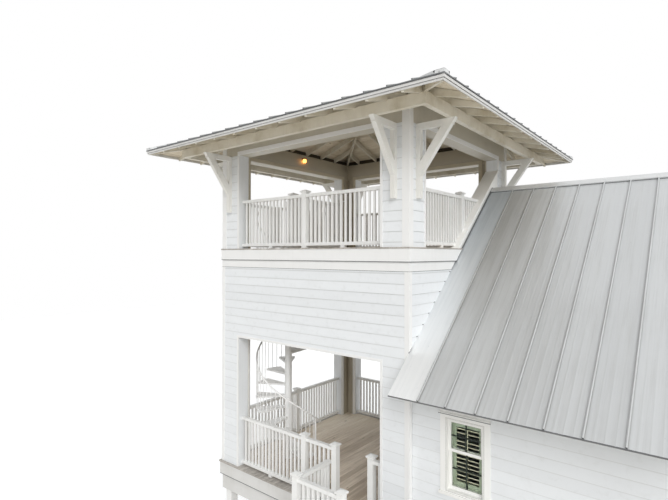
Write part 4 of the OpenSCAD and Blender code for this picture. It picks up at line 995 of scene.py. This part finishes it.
# %% Bars, strips and folded edges
def prism(bm, outline, along):
    """Sweeps a closed outline, given as points in space, along a vector and closes both ends."""
    near = [bm.verts.new(point) for point in outline]
    far = [bm.verts.new(vert.co + Vector(along)) for vert in near]
    bm.faces.new(near[::-1])
    bm.faces.new(far)
    for k in range(len(near)):
        j = (k + 1) % len(near)
        bm.faces.new((near[k], near[j], far[j], far[k]))


def strip(bm, start, end, side, profile, up=UP):
    """A bar from start to end, whose profile is a list of steps along side and up."""
    start, side = Vector(start), Vector(side)
    prism(bm, [start + side * s + up * u for s, u in profile], Vector(end) - start)


def bar(s0, s1, u0, u1):
    """The profile of a plain bar."""
    return (s0, u0), (s1, u0), (s1, u1), (s0, u1)


# %% Edgings round a rectangle, and folded caps
def edge_ring(bm, x0, x1, y0, y1, z, profile):
    """A mitred edging round a rectangle, whose profile lists how far out and how far up."""
    rings = [[bm.verts.new(p) for p in ((x0 - out, y0 - out, z + up), (x1 + out, y0 - out, z + up),
                                        (x1 + out, y1 + out, z + up), (x0 - out, y1 + out, z + up))]
             for out, up in profile]
    for k, ring in enumerate(rings):
        after = rings[(k + 1) % len(rings)]
        for i in range(4):
            j = (i + 1) % 4
            bm.faces.new((ring[i], ring[j], after[j], after[i]))


def folded(leg_a, leg_b, normal_a, normal_b, leg, lift, thick=SHEET_METAL):
    """The profile of a cap folded over two slopes, as offsets from their shared line."""
    foot = 0.002
    outer = [leg_a * leg + normal_a * foot, leg_a * leg + normal_a * lift, UP * lift * 1.1,
             leg_b * leg + normal_b * lift, leg_b * leg + normal_b * foot]
    inner = [leg_b * (leg - thick) + normal_b * foot, leg_b * (leg - thick) + normal_b * (lift - thick),
             UP * (lift * 1.1 - thick * 1.2), leg_a * (leg - thick) + normal_a * (lift - thick),
             leg_a * (leg - thick) + normal_a * foot]
    return outer + inner


# %% Lay the wing's sheets
FLASHING_W = 0.517
FLASHING_GAP = 0.006
WING_SEAM_GAP = 0.437
WING_PANS = 8
TOP_GAP = 0.03
wing_slope_l = (WING_RIDGE_Y - WING_EAVES[0]) / math.cos(WING_PITCH)
ridge_z = wing_top(WING_RIDGE_Y)
flashing_x = TOWER_RIGHT + FLASHING_W
wing_up = [Vector((0, run * math.cos(WING_PITCH), math.sin(WING_PITCH))) for run in (1, -1)]
wing_out = [Vector((0, -run * math.sin(WING_PITCH), math.cos(WING_PITCH))) for run in (1, -1)]
for side, eave_y, run, up in zip(("front", "back"), WING_EAVES, (1, -1), wing_up):
    across = (-run, 0, 0)
    far_x = flashing_x + WING_PANS * WING_SEAM_GAP if run == 1 else flashing_x
    bm = bmesh.new()
    roof_slope(bm, ((far_x, eave_y, WING_EAVE_Z), up, across), wing_slope_l - TOP_GAP, WING_SEAM_GAP, WING_PANS,
               [((WING_END, 0, 0), (1, 0, 0))], 20 + run, rib=0.0012, seam=0.03)
    lay_piece("wing_sheets_" + side, mesh_of(bm, side), roof_sheet, "roof_metal", "wing_roof")
    near_x = flashing_x - FLASHING_GAP if run == 1 else TOWER_RIGHT
    flat = grown(pans, Length=wing_slope_l - TOP_GAP, Pitch=FLASHING_W - FLASHING_GAP, Count=1, Rib=0.0,
                 Buckle=0.006, Seed=30 + run, Material=flashing_sheet)
    bm = thickened(opened(turned(flat, (near_x, eave_y, WING_EAVE_Z), up, across)))
    lay_piece("wing_flashing_" + side, mesh_of(bm, side), flashing_sheet, "roof_metal", "wing_roof")

# %% [markdown]
# ## The wing's soffit, ridge and edges
#
# Seen from below, an eave shows boards and not bare metal. They are rows of the same tree, cut at the
# ridge. A folded cap closes the ridge, and thin dark edges finish the sheet: a drip along each eave,
# a flange at each wall and a verge down each gable. The flanges are dark as painted shade, in the gap
# where the siding stops above them. A bevel on the sheet couldn't show them, because they are folded
# from separate strips, so each is a profile swept along its line.

# %% Board the wing's roof underneath
SOFFIT_H = 0.046
wing_span = Vector((WING_END - TOWER_RIGHT, 0, 0))
bm = bmesh.new()
for eave_y, run, up, out in zip(WING_EAVES, (1, -1), wing_up, wing_out):
    start_x = TOWER_RIGHT if run == 1 else WING_END
    rows = grown(boards, Length=wing_span.x, Pitch=0.139, Gap=0.003, Thickness=SOFFIT_H, Count=40,
                 Seed=40 + run, Material=soffit_paint)
    rows = turned(rows, Vector((start_x, eave_y, WING_EAVE_Z)) - out * 0.002, (run, 0, 0), up)
    pour(cut(opened(rows), [((0, WING_RIDGE_Y, 0), (0, run, 0))]), bm)
lay_piece("wing_soffit", mesh_of(bm, "soffit"), soffit_paint, "white_trim", "wing_roof")

# %% Cap the ridge
LEG = 0.13
CAP_LIFT = 0.038
ridge_line = Vector((TOWER_RIGHT, WING_RIDGE_Y, ridge_z))
bm = bmesh.new()
prism(bm, [ridge_line + p for p in folded(-wing_up[0], -wing_up[1], *wing_out, LEG, CAP_LIFT)], wing_span)
new_piece("wing_ridge_cap", bm, cap_sheet, "roof_metal", "wing_roof")

# %% Edge the wing's sheets
END_PROUD = 0.024
DRIP = ((0.001, 0.003), (0.002, -0.013), (0.006, -0.016), (0.004, -0.018), (-0.002, -0.014), (-0.002, 0.0))
SEAM_END = ((-0.009, 0.0), (0.009, 0.0), (0.011, 0.034), (-0.011, 0.034))
VERGE = ((-0.004, 0.008), (0.07, 0.008), (0.07, 0.005), (-0.001, 0.005), (-0.001, -0.085), (-0.004, -0.085))
bm = bmesh.new()
for eave_y, run, up, out in zip(WING_EAVES, (1, -1), wing_up, wing_out):
    eave = Vector((TOWER_RIGHT, eave_y, WING_EAVE_Z))
    strip(bm, eave, eave + wing_span, (0, -run, 0), DRIP)
    for k in range(WING_PANS + 1):
        seam_end = eave + Vector((FLASHING_W + k * WING_SEAM_GAP, 0, 0))
        if seam_end.x < WING_END:
            strip(bm, seam_end + up * 0.001, seam_end - up * 0.003, (1, 0, 0), SEAM_END, out)
for up, out in zip(wing_up, wing_out):
    foot = ridge_line - up * LEG
    strip(bm, foot, foot + wing_span, -up, bar(-0.002, 0.004, -0.002, 0.014), out)
# Dark flanges along the tower wall and the cheek wall, where the siding stops over the sheets: painted shade
cheek_y = low("cheek_wall").y
for y0, y1, x in ((TOWER_FRONT - 0.01, cheek_y, TOWER_RIGHT), (cheek_y, WING_RIDGE_Y, high("cheek_wall").x)):
    strip(bm, (x, y0, wing_top(y0)), (x, y1, wing_top(y1)), (1, 0, 0), bar(-0.002, 0.004, -0.004, 0.05))
verge_x = WING_END + END_PROUD + 0.001
for y, x, turn in ((WING_EAVES[1], TOWER_RIGHT, 1), (TOWER_BACK + 0.02, TOWER_RIGHT, 1),
                   (WING_EAVES[0], verge_x, -1), (WING_EAVES[1], verge_x, -1)):
    strip(bm, (x, y, wing_top(y)), (x, WING_RIDGE_Y, ridge_z), (turn, 0, 0), VERGE)
new_piece("wing_edges", bm, edge_sheet, "roof_metal", "wing_roof")

# %% Trim the wing's far gable with rake boards and corner boards
CORNER_BOARD = ((-END_BOARD, -0.001), (-END_BOARD, END_PROUD), (END_PROUD, END_PROUD), (END_PROUD, -END_BOARD),
                (-0.001, -END_BOARD), (-0.001, -0.001))
bm = bmesh.new()
for eave_y in WING_EAVES:
    strip(bm, (WING_END, eave_y, WING_EAVE_Z), (WING_END, WING_RIDGE_Y, ridge_z), (1, 0, 0),
          bar(0, END_PROUD, -RAKE_H, -0.012))
for wall_y, turn in WING_SIDES:
    top = wing_top(wall_y) - RAKE_H + 0.01
    strip(bm, (WING_END, wall_y, 0), (WING_END, wall_y, top), (1, 0, 0), CORNER_BOARD, Vector((0, turn, 0)))
new_piece("wing_end_trim", bm, trim_paint, "white_trim")

# %% [markdown]
# ## The hipped roof of the tower
#
# Four slopes meet along hips. Triangular pans would need a tree of their own, so the slopes are laid
# as on the wing and then cut along the hips by upright planes, as a roofer would snip each pan.
# Folded caps cover the cuts, and a drip edge runs round the eave with the fold of every seam.

# %% Measure the tower's eave
SLOPE = 0.35
TILT = math.atan(SLOPE)
EAVE_Z = LOOKOUT_Z + 2.232
EAVE_OUT = TOWER_FRONT - low("tower_roof").y
EAVES = (TOWER_LEFT - EAVE_OUT, TOWER_RIGHT + EAVE_OUT, TOWER_FRONT - EAVE_OUT, TOWER_BACK + EAVE_OUT)
HALF_DEPTH = (EAVES[3] - EAVES[2]) / 2
corners = [(EAVES[i], EAVES[j]) for i, j in ((0, 2), (1, 2), (1, 3), (0, 3))]
inward = [Vector((0, 1, 0)), Vector((-1, 0, 0)), Vector((0, -1, 0)), Vector((1, 0, 0))]
ups = [(n * math.cos(TILT) + UP * math.sin(TILT)).normalized() for n in inward]
normals = [UP * math.cos(TILT) - n * math.sin(TILT) for n in inward]
print(f"eave {EAVES[1] - EAVES[0]:.3f} x {EAVES[3] - EAVES[2]:.3f} m at {EAVE_Z:.3f} m")


def side_frame(k, inset=0.0, drop=0.0):
    """Start corner, direction along the eave, length and cutting planes of a side."""
    a, b = Vector((*corners[k], EAVE_Z - drop)), Vector((*corners[(k + 1) % 4], EAVE_Z - drop))
    along = (b - a).normalized()
    planes = [(a, inward[k] - along), (b, inward[k] + along), (a + inward[k] * HALF_DEPTH, inward[k]),
              (a + inward[k] * inset, -inward[k])]
    return a, along, (b - a).length, planes


# %% Lay and cut the tower's sheets
TOWER_SEAM_GAP = 0.4
bm = bmesh.new()
for k in range(4):
    a, along, length, planes = side_frame(k)
    count = 2 * math.ceil((length / 2) / TOWER_SEAM_GAP)
    start = a + along * (length / 2 + count / 2 * TOWER_SEAM_GAP)
    roof_slope(bm, (start, ups[k], -along), HALF_DEPTH / math.cos(TILT) + 0.01, TOWER_SEAM_GAP, count, planes[:3],
               50 + k, rib=0.001, seam=0.02, buckle=0.002)
lay_piece("tower_sheets", mesh_of(bm, "sheets"), roof_sheet, "roof_metal", "tower_roof")

# %% Cap the hips and the short ridge
HIP_LEG, HIP_LIFT, RIDGE_LIFT = 0.11, 0.046, 0.048
OVERSHOOT, PLUG_L, PLUG_FIT = 0.15, 0.25, 0.985
top_z = EAVE_Z + HALF_DEPTH * SLOPE
tops = [Vector((x, EAVES[2] + HALF_DEPTH, top_z)) for x in (EAVES[0] + HALF_DEPTH, EAVES[1] - HALF_DEPTH)]
bm = bmesh.new()
for k in range(4):
    corner, top = Vector((*corners[k], EAVE_Z)), tops[k in (1, 2)]
    line = (top - corner).normalized()
    pair = [normals[k - 1], normals[k]]
    legs = [n.cross(line) for n in pair]
    legs = [leg if leg.z < 0 else -leg for leg in legs]
    outline = folded(*legs, *pair, HIP_LEG, HIP_LIFT)
    foot = corner - line * OVERSHOOT
    cap = bmesh.new()
    prism(cap, [foot + p for p in outline], top - foot)
    prism(cap, [foot + p * PLUG_FIT for p in outline[:5]], line * PLUG_L)
    pour(cut(cap, [(corner, -inward[k]), (corner, -inward[k - 1])]), bm)
outline = folded(-ups[0], -ups[2], normals[0], normals[2], HIP_LEG, RIDGE_LIFT)
prism(bm, [tops[0] + p for p in outline], tops[1] - tops[0])
new_piece("tower_caps", bm, cap_sheet, "roof_metal", "tower_roof")

# %% Fold the drip edge, a dark line of painted shade under the fascia's step and the ends of the seams
TOWER_SEAM_END = ((-0.007, 0.0), (0.007, 0.0), (0.009, 0.023), (-0.009, 0.023))
step_up = low("roof_fascia").z + 0.032 - EAVE_Z
bm = bmesh.new()
edge_ring(bm, *EAVES, EAVE_Z, DRIP)
# a thin dark ring under the fascia's step: painted shade
edge_ring(bm, *EAVES, EAVE_Z, bar(-0.0215, -0.017, step_up - 0.003, step_up))
for k in range(4):
    a, along, length, _ = side_frame(k)
    for n in range(int(-length / 2 / TOWER_SEAM_GAP), int(length / 2 / TOWER_SEAM_GAP) + 1):
        from_corner = length / 2 + n * TOWER_SEAM_GAP
        if min(from_corner, length - from_corner) > OVERSHOOT:
            seam_end = a + along * from_corner
            strip(bm, seam_end + ups[k] * 0.001, seam_end - ups[k] * 0.003, along, TOWER_SEAM_END, normals[k])
new_piece("tower_drip_edge", bm, edge_sheet, "roof_metal", "tower_roof")

# %% Lay the ceiling boards under the tower's roof
METAL_D = 0.023
BOARDS_IN = 0.036
bm = bmesh.new()
for k in range(4):
    a, along, length, planes = side_frame(k, BOARDS_IN, METAL_D)
    rows = grown(boards, Length=length, Pitch=0.1405, Gap=0.004, Thickness=0.024, Count=27, Ease=0.004,
                 Seed=60 + k, Material=ceiling_timber)
    pour(cut(opened(turned(rows, a, along, ups[k])), planes), bm)
lay_piece("ceiling_boards", mesh_of(bm, "boards"), ceiling_timber, "ceiling_timber", "roof_boards")

# %% [markdown]
# ## The spiral handrail
#
# A steel rail is rolled to a helix. The CAD model has a chain of short straight tubes in its place,
# and smooth shading alone would leave their corners in the outline. A tree bends a line by the same
# rule as the real one, so many degrees and millimetres a tread, and sweeps a round tube along it.

# %% The tree that bends a helical handrail
helix, given, end = geometry_tree("Helical rail", [
    ("Radius", "Float", 0.734), ("Tube", "Float", 0.019), ("Turn", "Float", 9.0), ("Start angle", "Float", 0.0),
    ("Start height", "Float", 4.2), ("Rise", "Float", 4.7), ("Steps", "Int", 200), ("Material", "Material", None)])
line = add(helix, "GeometryNodeCurvePrimitiveLine", {"Start": (0, 0, 0), "End": (0, 0, 1)}).outputs[0]
line = add(helix, "GeometryNodeResampleCurve", {"Curve": line, "Count": given["Steps"]}).outputs[0]
share = add(helix, "GeometryNodeSplineParameter").outputs["Factor"]
angle = maths(helix, "MULTIPLY_ADD", share, given["Turn"], given["Start angle"])
x, y = (maths(helix, "MULTIPLY", maths(helix, turn, angle), given["Radius"]) for turn in ("COSINE", "SINE"))
z = maths(helix, "MULTIPLY_ADD", share, given["Rise"], given["Start height"])
line = add(helix, "GeometryNodeSetPosition", {"Geometry": line, "Position": xyz(helix, x, y, z)}).outputs[0]
ring = add(helix, "GeometryNodeCurvePrimitiveCircle", {"Resolution": 14, "Radius": given["Tube"]}).outputs[0]
tube = add(helix, "GeometryNodeSetShadeSmooth", {"Geometry": swept(helix, line, ring)}).outputs[0]
finished(helix, tube, given["Material"], end)

# %% Bend the handrail round the column
TREAD_TURN = 27.0
TREAD_RISE = (LOOKOUT_Z - DECK_Z) / 20
RAIL_H = 1.05
FIRST_TURN, LAST_TURN, TOP_TURN = -6.0, 525.0, 9.0
column = sum(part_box("spiral_column"), Vector()) / 2
rail = grown(helix, Turn=math.radians(FIRST_TURN - LAST_TURN), Start_angle=math.radians(TOP_TURN - FIRST_TURN),
             Start_height=DECK_Z + FIRST_TURN / TREAD_TURN * TREAD_RISE + RAIL_H,
             Rise=(LAST_TURN - FIRST_TURN) / TREAD_TURN * TREAD_RISE, Steps=220, Material=steel_paint)
rail = turned(rail, (column.x, column.y, 0), (1, 0, 0), (0, 1, 0))
lay_piece("handrail_tube", rail, steel_paint, "white_steel", "spiral_handrail")

# %% [markdown]
# ## Deck screws
#
# Each board is held at each joist by two screws. Their heads are tiny, but a deck without them looks
# like a sheet of printed boards. A texture would put heads over gaps and holes, so a ray is cast down
# at every crossing, and a head is set only where the deck is solid. No two stand quite in line.

# %% The tree that drives screws
screws, given, end = geometry_tree("Screw heads", [
    ("Geometry", "Geometry", None), ("Size", "Float", 0.0038), ("Seed", "Int", 0), ("Material", "Material", None)])
head = add(screws, "GeometryNodeMeshCylinder", {"Vertices": 8, "Radius": given["Size"], "Depth": 0.002})
turn = xyz(screws, 0.0, 0.0, draw_number(screws, 0.0, 6.28, given["Seed"]))
heads_placed = add(screws, "GeometryNodeInstanceOnPoints", {"Points": given["Geometry"],
                                                            "Instance": head.outputs[0], "Rotation": turn})
finished(screws, heads_placed.outputs[0], given["Material"], end)

# %% Drive two screws through every board at every joist
JOIST_GAP = 0.4136
FROM_EDGE = 0.035
HEAD_REACH = 0.012


def marks(start, end, step):
    """Equal marks from start, up to but without end."""
    return [start + k * step for k in range(math.ceil((end - start) / step))]


def deck_screws(name, node, pitch, first_joist, seed):
    """Screws in rows where boards cross joists, only where the CAD deck is solid under them."""
    corner, far_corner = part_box(node)
    deck = cad_copy(node)
    solid = BVHTree.FromPolygons([v.co for v in deck.vertices], [p.vertices[:] for p in deck.polygons])
    draw = random.Random(seed)
    spots = []
    for joist in marks(TOWER_FRONT + first_joist, far_corner.y - 0.02, JOIST_GAP):
        for board_x in marks(corner.x, far_corner.x - 0.02, pitch):
            for shift in (FROM_EDGE, pitch - FROM_EDGE):
                x = board_x + shift + draw.uniform(-0.006, 0.006)
                y = joist + draw.uniform(-0.008, 0.008)
                found = [solid.ray_cast(Vector((x + dx, y, far_corner.z + 0.1)), -UP)[0]
                         for dx in (-HEAD_REACH, HEAD_REACH)]
                if all(hit is not None and hit.z > far_corner.z - 0.002 for hit in found):
                    spots.append((x, y, far_corner.z + 0.0002))
    holder = bpy.data.meshes.new("spots")
    holder.from_pydata(spots, [], [])
    lay_piece(name, grown(screws, base=holder, Seed=seed, Material=screw_steel), screw_steel, "white_steel")
    print(len(spots), "screws")


deck_screws("porch_screws", "porch_deck", 0.1405, 0.13, 71)
deck_screws("lookout_screws", "lookout_floor", 0.14, 0.2, 72)

# %% [markdown]
# ## Windows
#
# Each sash is divided by one upright and one level bar, and its pane sits in a dark seal. Bars in the
# glass's texture would have no depth, so they are solids. They are placed from the panes themselves:
# the CAD glass is taken apart into its solids, and each pane's box gives the bars their place. A thin
# cap sheds the rain over each window's head, and a dark lip along its front edge is a painted shadow
# line under it.

# %% Take a CAD node apart into its solids' boxes
def solid_boxes(node):
    bm = opened(cad_copy(node))
    boxes, left = [], set(bm.verts)
    while left:
        stack, found = [left.pop()], []
        while stack:
            vert = stack.pop()
            found.append(vert.co.copy())
            for edge in vert.link_edges:
                other = edge.other_vert(vert)
                if other in left:
                    left.remove(other)
                    stack.append(other)
        boxes.append([Vector(f(p[i] for p in found) for i in range(3)) for f in (min, max)])
    bm.free()
    return boxes


def block(bm, low_corner, high_corner):
    (x0, y0, z0), (x1, y1, z1) = low_corner, high_corner
    prism(bm, [(x0, y0, z0), (x1, y0, z0), (x1, y1, z0), (x0, y1, z0)], (0, 0, z1 - z0))


def seal(bm, x0, x1, z0, z1, depths, wide):
    """A flat seal round a rectangle in a wall, between two depths along Y."""
    y0, y1 = sorted(depths)
    for a, b in (((x0 - wide, z0 - wide), (x1 + wide, z0)), ((x0 - wide, z1), (x1 + wide, z1 + wide)),
                 ((x0 - wide, z0), (x0, z1)), ((x1, z0), (x1 + wide, z1))):
        block(bm, (a[0], y0, a[1]), (b[0], y1, b[1]))


panes = solid_boxes("window_glass")
print(len(panes), "panes")

# %% Bar the sashes
HALF_BAR, BAR_REACH = 0.009, 0.009
bm = bmesh.new()
for a, b in panes:
    middle = (a + b) / 2
    block(bm, (middle.x - HALF_BAR, a.y - BAR_REACH, a.z), (middle.x + HALF_BAR, b.y + BAR_REACH, b.z))
    for x0, x1 in ((a.x, middle.x - HALF_BAR + 0.001), (middle.x + HALF_BAR - 0.001, b.x)):
        block(bm, (x0, a.y - BAR_REACH + 0.002, middle.z - HALF_BAR), (x1, b.y + BAR_REACH - 0.002,
                                                                       middle.z + HALF_BAR))
new_piece("sash_bars", bm, bar_paint, "shutter_paint")

# %% Seal the panes and the openings
OPENING_W, OPENING_H = 0.615, 1.14
OPENING_IN = 0.115, 0.06
bm = bmesh.new()
for a, b in panes:
    face, out = (a.y, -1) if a.y < 0 else (b.y, 1)
    seal(bm, a.x, b.x, a.z, b.z, (face + out * 0.0125, face + out * 0.002), 0.004)
for face, out in WING_SIDES:
    for sill in sills:
        x0, z0 = windows_low.x + OPENING_IN[0], sill + OPENING_IN[1]
        for inset in (0.0, 0.012):
            seal(bm, x0 + inset, x0 + OPENING_W - inset, z0 + inset, z0 + OPENING_H - inset,
                 (face + out * 0.021, face + out * 0.0232), 0.003)
new_piece("window_seals", bm, seal_rubber, "shutter_paint")

# %% Cap the window heads
CASING_PROUD = 0.022
HEAD_DROP = 0.05
HEAD_CAP = ((0, 0), (0, 0.018), (0.034, 0.012), (0.036, -0.003), (0.022, -0.003), (0.018, -0.014),
            (0.006, -0.014), (0.004, 0))
# a dark lip along the lower front edge of each cap: a painted shadow line under the head
HEAD_SHADOW_LIP = ((0.024, -0.012), (0.038, -0.012), (0.039, -0.002), (0.028, -0.002))
for name, profile, inset, look, slot in (("window_head_caps", HEAD_CAP, 0.012, casing_paint, "white_trim"),
                                         ("window_head_lips", HEAD_SHADOW_LIP, 0.004, edge_sheet, "roof_metal")):
    bm = bmesh.new()
    for wall_y, out in WING_SIDES:
        for head in heads:
            y, z = wall_y + out * CASING_PROUD, head - HEAD_DROP
            strip(bm, (windows_low.x + inset, y, z), (windows_high.x - inset, y, z), (0, out, 0), profile)
    new_piece(name, bm, look, slot)

# %% [markdown]
# ## The lamp
#
# A jar lamp is blown glass under a spun metal cap. Both are round about one upright line, so a lathe
# is all they need: a short profile is turned in steps, as on the real tools. The jar is lit, which
# warms the board behind it.

# %% Turn the lamp's holder and its jar
LATHE_STEPS = 24
CAP_PROFILE = ((0, 0), (0.014, -0.002), (0.04, -0.008), (0.058, -0.018), (0.058, -0.022), (0.05, -0.024),
               (0.046, -0.03), (0, -0.03))
FOOT_PROFILE = ((0, -0.128), (0.016, -0.13), (0.022, -0.138), (0.016, -0.146), (0, -0.15))
JAR_PROFILE = ((0, -0.029), (0.04, -0.029), (0.047, -0.045), (0.049, -0.08), (0.043, -0.115), (0.026, -0.13),
               (0, -0.134))


def lathe(bm, profile, x, y, z):
    """Turns a profile of (radius, height) round an upright axis. A radius of 0 closes an end."""
    angles = [2 * math.pi * i / LATHE_STEPS for i in range(LATHE_STEPS)]
    rings = [[bm.verts.new((x + r * math.cos(t), y + r * math.sin(t), z + h)) for t in (angles if r else [0])]
             for r, h in profile]
    for ring, after in zip(rings, rings[1:]):
        for i in range(LATHE_STEPS):
            j = (i + 1) % LATHE_STEPS
            ends = [ring[i % len(ring)], ring[j % len(ring)], after[j % len(after)], after[i % len(after)]]
            bm.faces.new([v for n, v in enumerate(ends) if v not in ends[:n]])


lamp_low, lamp_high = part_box("wall_lamp")
lamp_y, top_z = (lamp_low.y + lamp_high.y) / 2, lamp_high.z
jar_x = lamp_high.x - 0.052
bm = bmesh.new()
lathe(bm, CAP_PROFILE, jar_x, lamp_y, top_z)
block(bm, (lamp_low.x, lamp_y - 0.03, top_z - 0.06), (lamp_low.x + 0.024, lamp_y + 0.03, top_z))
block(bm, (lamp_low.x + 0.013, lamp_y - 0.008, top_z - 0.03), (jar_x, lamp_y + 0.008, top_z - 0.014))
lathe(bm, FOOT_PROFILE, jar_x, lamp_y, top_z)
new_piece("lamp_holder", bm, bronze, "lamp_amber", "wall_lamp")
bm = bmesh.new()
lathe(bm, JAR_PROFILE, jar_x, lamp_y, top_z)
jar = new_piece("lamp_jar", bm, amber_glow, "lamp_amber", "wall_lamp")
for polygon in jar.data.polygons:
    polygon.use_smooth = True

# %% [markdown]
# ## Drips
#
# Where a proud board ends over another, a carpenter folds a thin metal drip over the lower one. Here
# the drips are dark, so that each reads as the fine shadow line under a proud board: painted shadow.
# A dark stripe in the paint would look flat from below, so each drip is a small folded profile that
# is swept along three or four sides of the tower.

# %% Fold dark drips under the porch rim, the band and the frieze: painted shadow lines
RIM_LOW_Z = 2.91
BAND_STEP_Z = BAND_LOW_Z + 0.165
FRIEZE_PROUD = 0.018
BAND_SHADOW_DRIP = ((-0.014, 0.0), (0.001, 0.0), (0.005, -0.011), (0.002, -0.012), (-0.001, -0.004), (-0.014, -0.004))
FRIEZE_SHADOW_LINE = bar(-0.018, 0.001, -0.006, 0.0)


def round_tower(bm, proud, z, profile):
    """An edging round the tower's outside, which stops where the wing's roof begins."""
    x0, x1, y0, y1 = TOWER_LEFT - proud, TOWER_RIGHT + proud, TOWER_FRONT - proud, TOWER_BACK + proud
    over_roof = z > WING_EAVE_Z
    sides = [((x0, y0), (x1 if over_roof else TOWER_RIGHT, y0), (0, -1, 0)), ((x0, y0), (x0, y1), (-1, 0, 0)),
             ((x0, y1), (TOWER_RIGHT, y1), (0, 1, 0))]
    if over_roof:
        roof_y = WING_EAVES[0] + (z - WING_EAVE_Z) / SLOPE_RUN
        sides.append(((x1, y0), (x1, roof_y), (1, 0, 0)))
    for start, end, out in sides:
        strip(bm, (*start, z), (*end, z), out, profile)


# dark strips along the lower edges of proud boards: painted shadow lines
bm = bmesh.new()
round_tower(bm, TOWER_LEFT - low("deck_frame").x, RIM_LOW_Z, BAND_SHADOW_DRIP)
round_tower(bm, TOWER_LEFT - low("floor_band").x, BAND_STEP_Z, BAND_SHADOW_DRIP)
round_tower(bm, FRIEZE_PROUD, BAND_LOW_Z, FRIEZE_SHADOW_LINE)
new_piece("band_drips", bm, edge_sheet, "roof_metal")

# %% [markdown]
# ## Linings and casings
#
# Inside, the walls and piers are lined with narrow tongued boards whose eased edges draw upright
# lines. Their darker, warmer taupe is painted shade. They come from the same row of boards as the
# decks, because a bump texture would show no edge at the openings. Flat casings trim the openings,
# beige up in the lookout as painted shade and white below, and a dark sheet of painted shade fills
# the gaps between the rafters over the headers.

# %% Line the walls and piers inside
LINING = 0.012
LINING_W, HEADER_BOARD_W = 0.145, 0.44
INNER_LEFT, INNER_FRONT = high("left_wall").x, high("front_wall").y
INNER_RIGHT, INNER_BACK = low("right_wall").x, low("back_wall").y
ROOM_WALLS = [(Vector((x, y, 0)), Vector((*room, 0)), length) for x, y, room, length in (
    (INNER_RIGHT, INNER_FRONT, (0, 1), INNER_RIGHT - INNER_LEFT),
    (INNER_LEFT, INNER_FRONT, (1, 0), INNER_BACK - INNER_FRONT),
    (INNER_LEFT, INNER_BACK, (0, -1), INNER_RIGHT - INNER_LEFT),
    (INNER_RIGHT, INNER_BACK, (-1, 0), INNER_BACK - INNER_FRONT))]
CLOSED_WALL = 3
PIER_IN = PIER - (INNER_LEFT - TOWER_LEFT)
HEADER_LOW, HEADER_TOP = low("header_beams").z, high("header_beams").z


def lined(bm, wall, u0, u1, z0, z1, upright, seed, board_w=LINING_W):
    """Boards over a part of an inner wall, from u0 to u1 along it and from z0 to z1."""
    start, room, _ = wall
    along = UP.cross(room)
    if upright:
        length, width, corner, x, y = z1 - z0, u1 - u0, u1, UP, -along
    else:
        length, width, corner, x, y = u1 - u0, z1 - z0, u0, along, UP
    count = max(1, round(width / board_w))
    rows = grown(boards, Length=length, Pitch=width / count, Gap=0.002, Thickness=LINING, Count=count, Seed=seed,
                 Material=lining_paint)
    bm.from_mesh(turned(rows, start + along * corner + room * LINING + UP * z0, x, y))


bm = bmesh.new()
for k, wall in enumerate(ROOM_WALLS):
    length, closed = wall[2], k == CLOSED_WALL
    for u0, u1 in ((0, PIER_IN), (length - PIER_IN, length)):
        lined(bm, wall, u0, u1, LOOKOUT_Z, HEADER_LOW, True, 80 + k)
        if not closed:
            lined(bm, wall, u0, u1, DECK_Z, PORCH_HEAD_Z, True, 84 + k)
    lined(bm, wall, 0, length, HEADER_LOW, HEADER_TOP, False, 88 + k, HEADER_BOARD_W)
    lined(bm, wall, 0, length, DECK_Z if closed else PORCH_HEAD_Z, low("lookout_joists").z, closed, 92 + k)
lay_piece("inner_lining", mesh_of(bm, "lining"), lining_paint, "white_trim")

# %% Case the openings inside, and fill the gaps over the headers with a dark sheet of painted shade
CASING_W = 0.085
SHADE_SHEET_BACK = 0.08
INNER_CASING = ((0.0, 0.0), (0.018, 0.0), (0.018, CASING_W - 0.006), (0.013, CASING_W), (0.0, CASING_W))
porch_bm, lookout_bm, shade_bm = bmesh.new(), bmesh.new(), bmesh.new()
for k, (start, room, length) in enumerate(ROOM_WALLS):
    along = UP.cross(room)
    face = start + room * LINING
    for bm, low_z, head_z in ((porch_bm, DECK_Z, PORCH_HEAD_Z), (lookout_bm, LOOKOUT_Z, HEADER_LOW)):
        if k == CLOSED_WALL and bm is porch_bm:
            continue
        for u, turn in ((PIER_IN, -1), (length - PIER_IN, 1)):
            foot = face + along * u
            strip(bm, foot + UP * low_z, foot + UP * head_z, room, INNER_CASING, along * turn)
        a, b = face + along * (PIER_IN - CASING_W), face + along * (length - PIER_IN + CASING_W)
        strip(bm, a + UP * head_z, b + UP * head_z, room, INNER_CASING)
    # a dark sheet behind the gaps between the rafters over the headers: painted shade
    behind = start - room * SHADE_SHEET_BACK + UP * (HEADER_TOP - 0.01)
    strip(shade_bm, behind - along * SHADE_SHEET_BACK, behind + along * (length + SHADE_SHEET_BACK), room,
          bar(0.0, 0.004, 0.0, 0.125))
new_piece("inner_casings", porch_bm, casing_paint, "white_trim")
new_piece("lookout_casings", lookout_bm, room_casing_paint, "white_trim")
new_piece("vent_mesh", shade_bm, vent_cloth, "shutter_paint")

# %% End of the build
print("build finished")
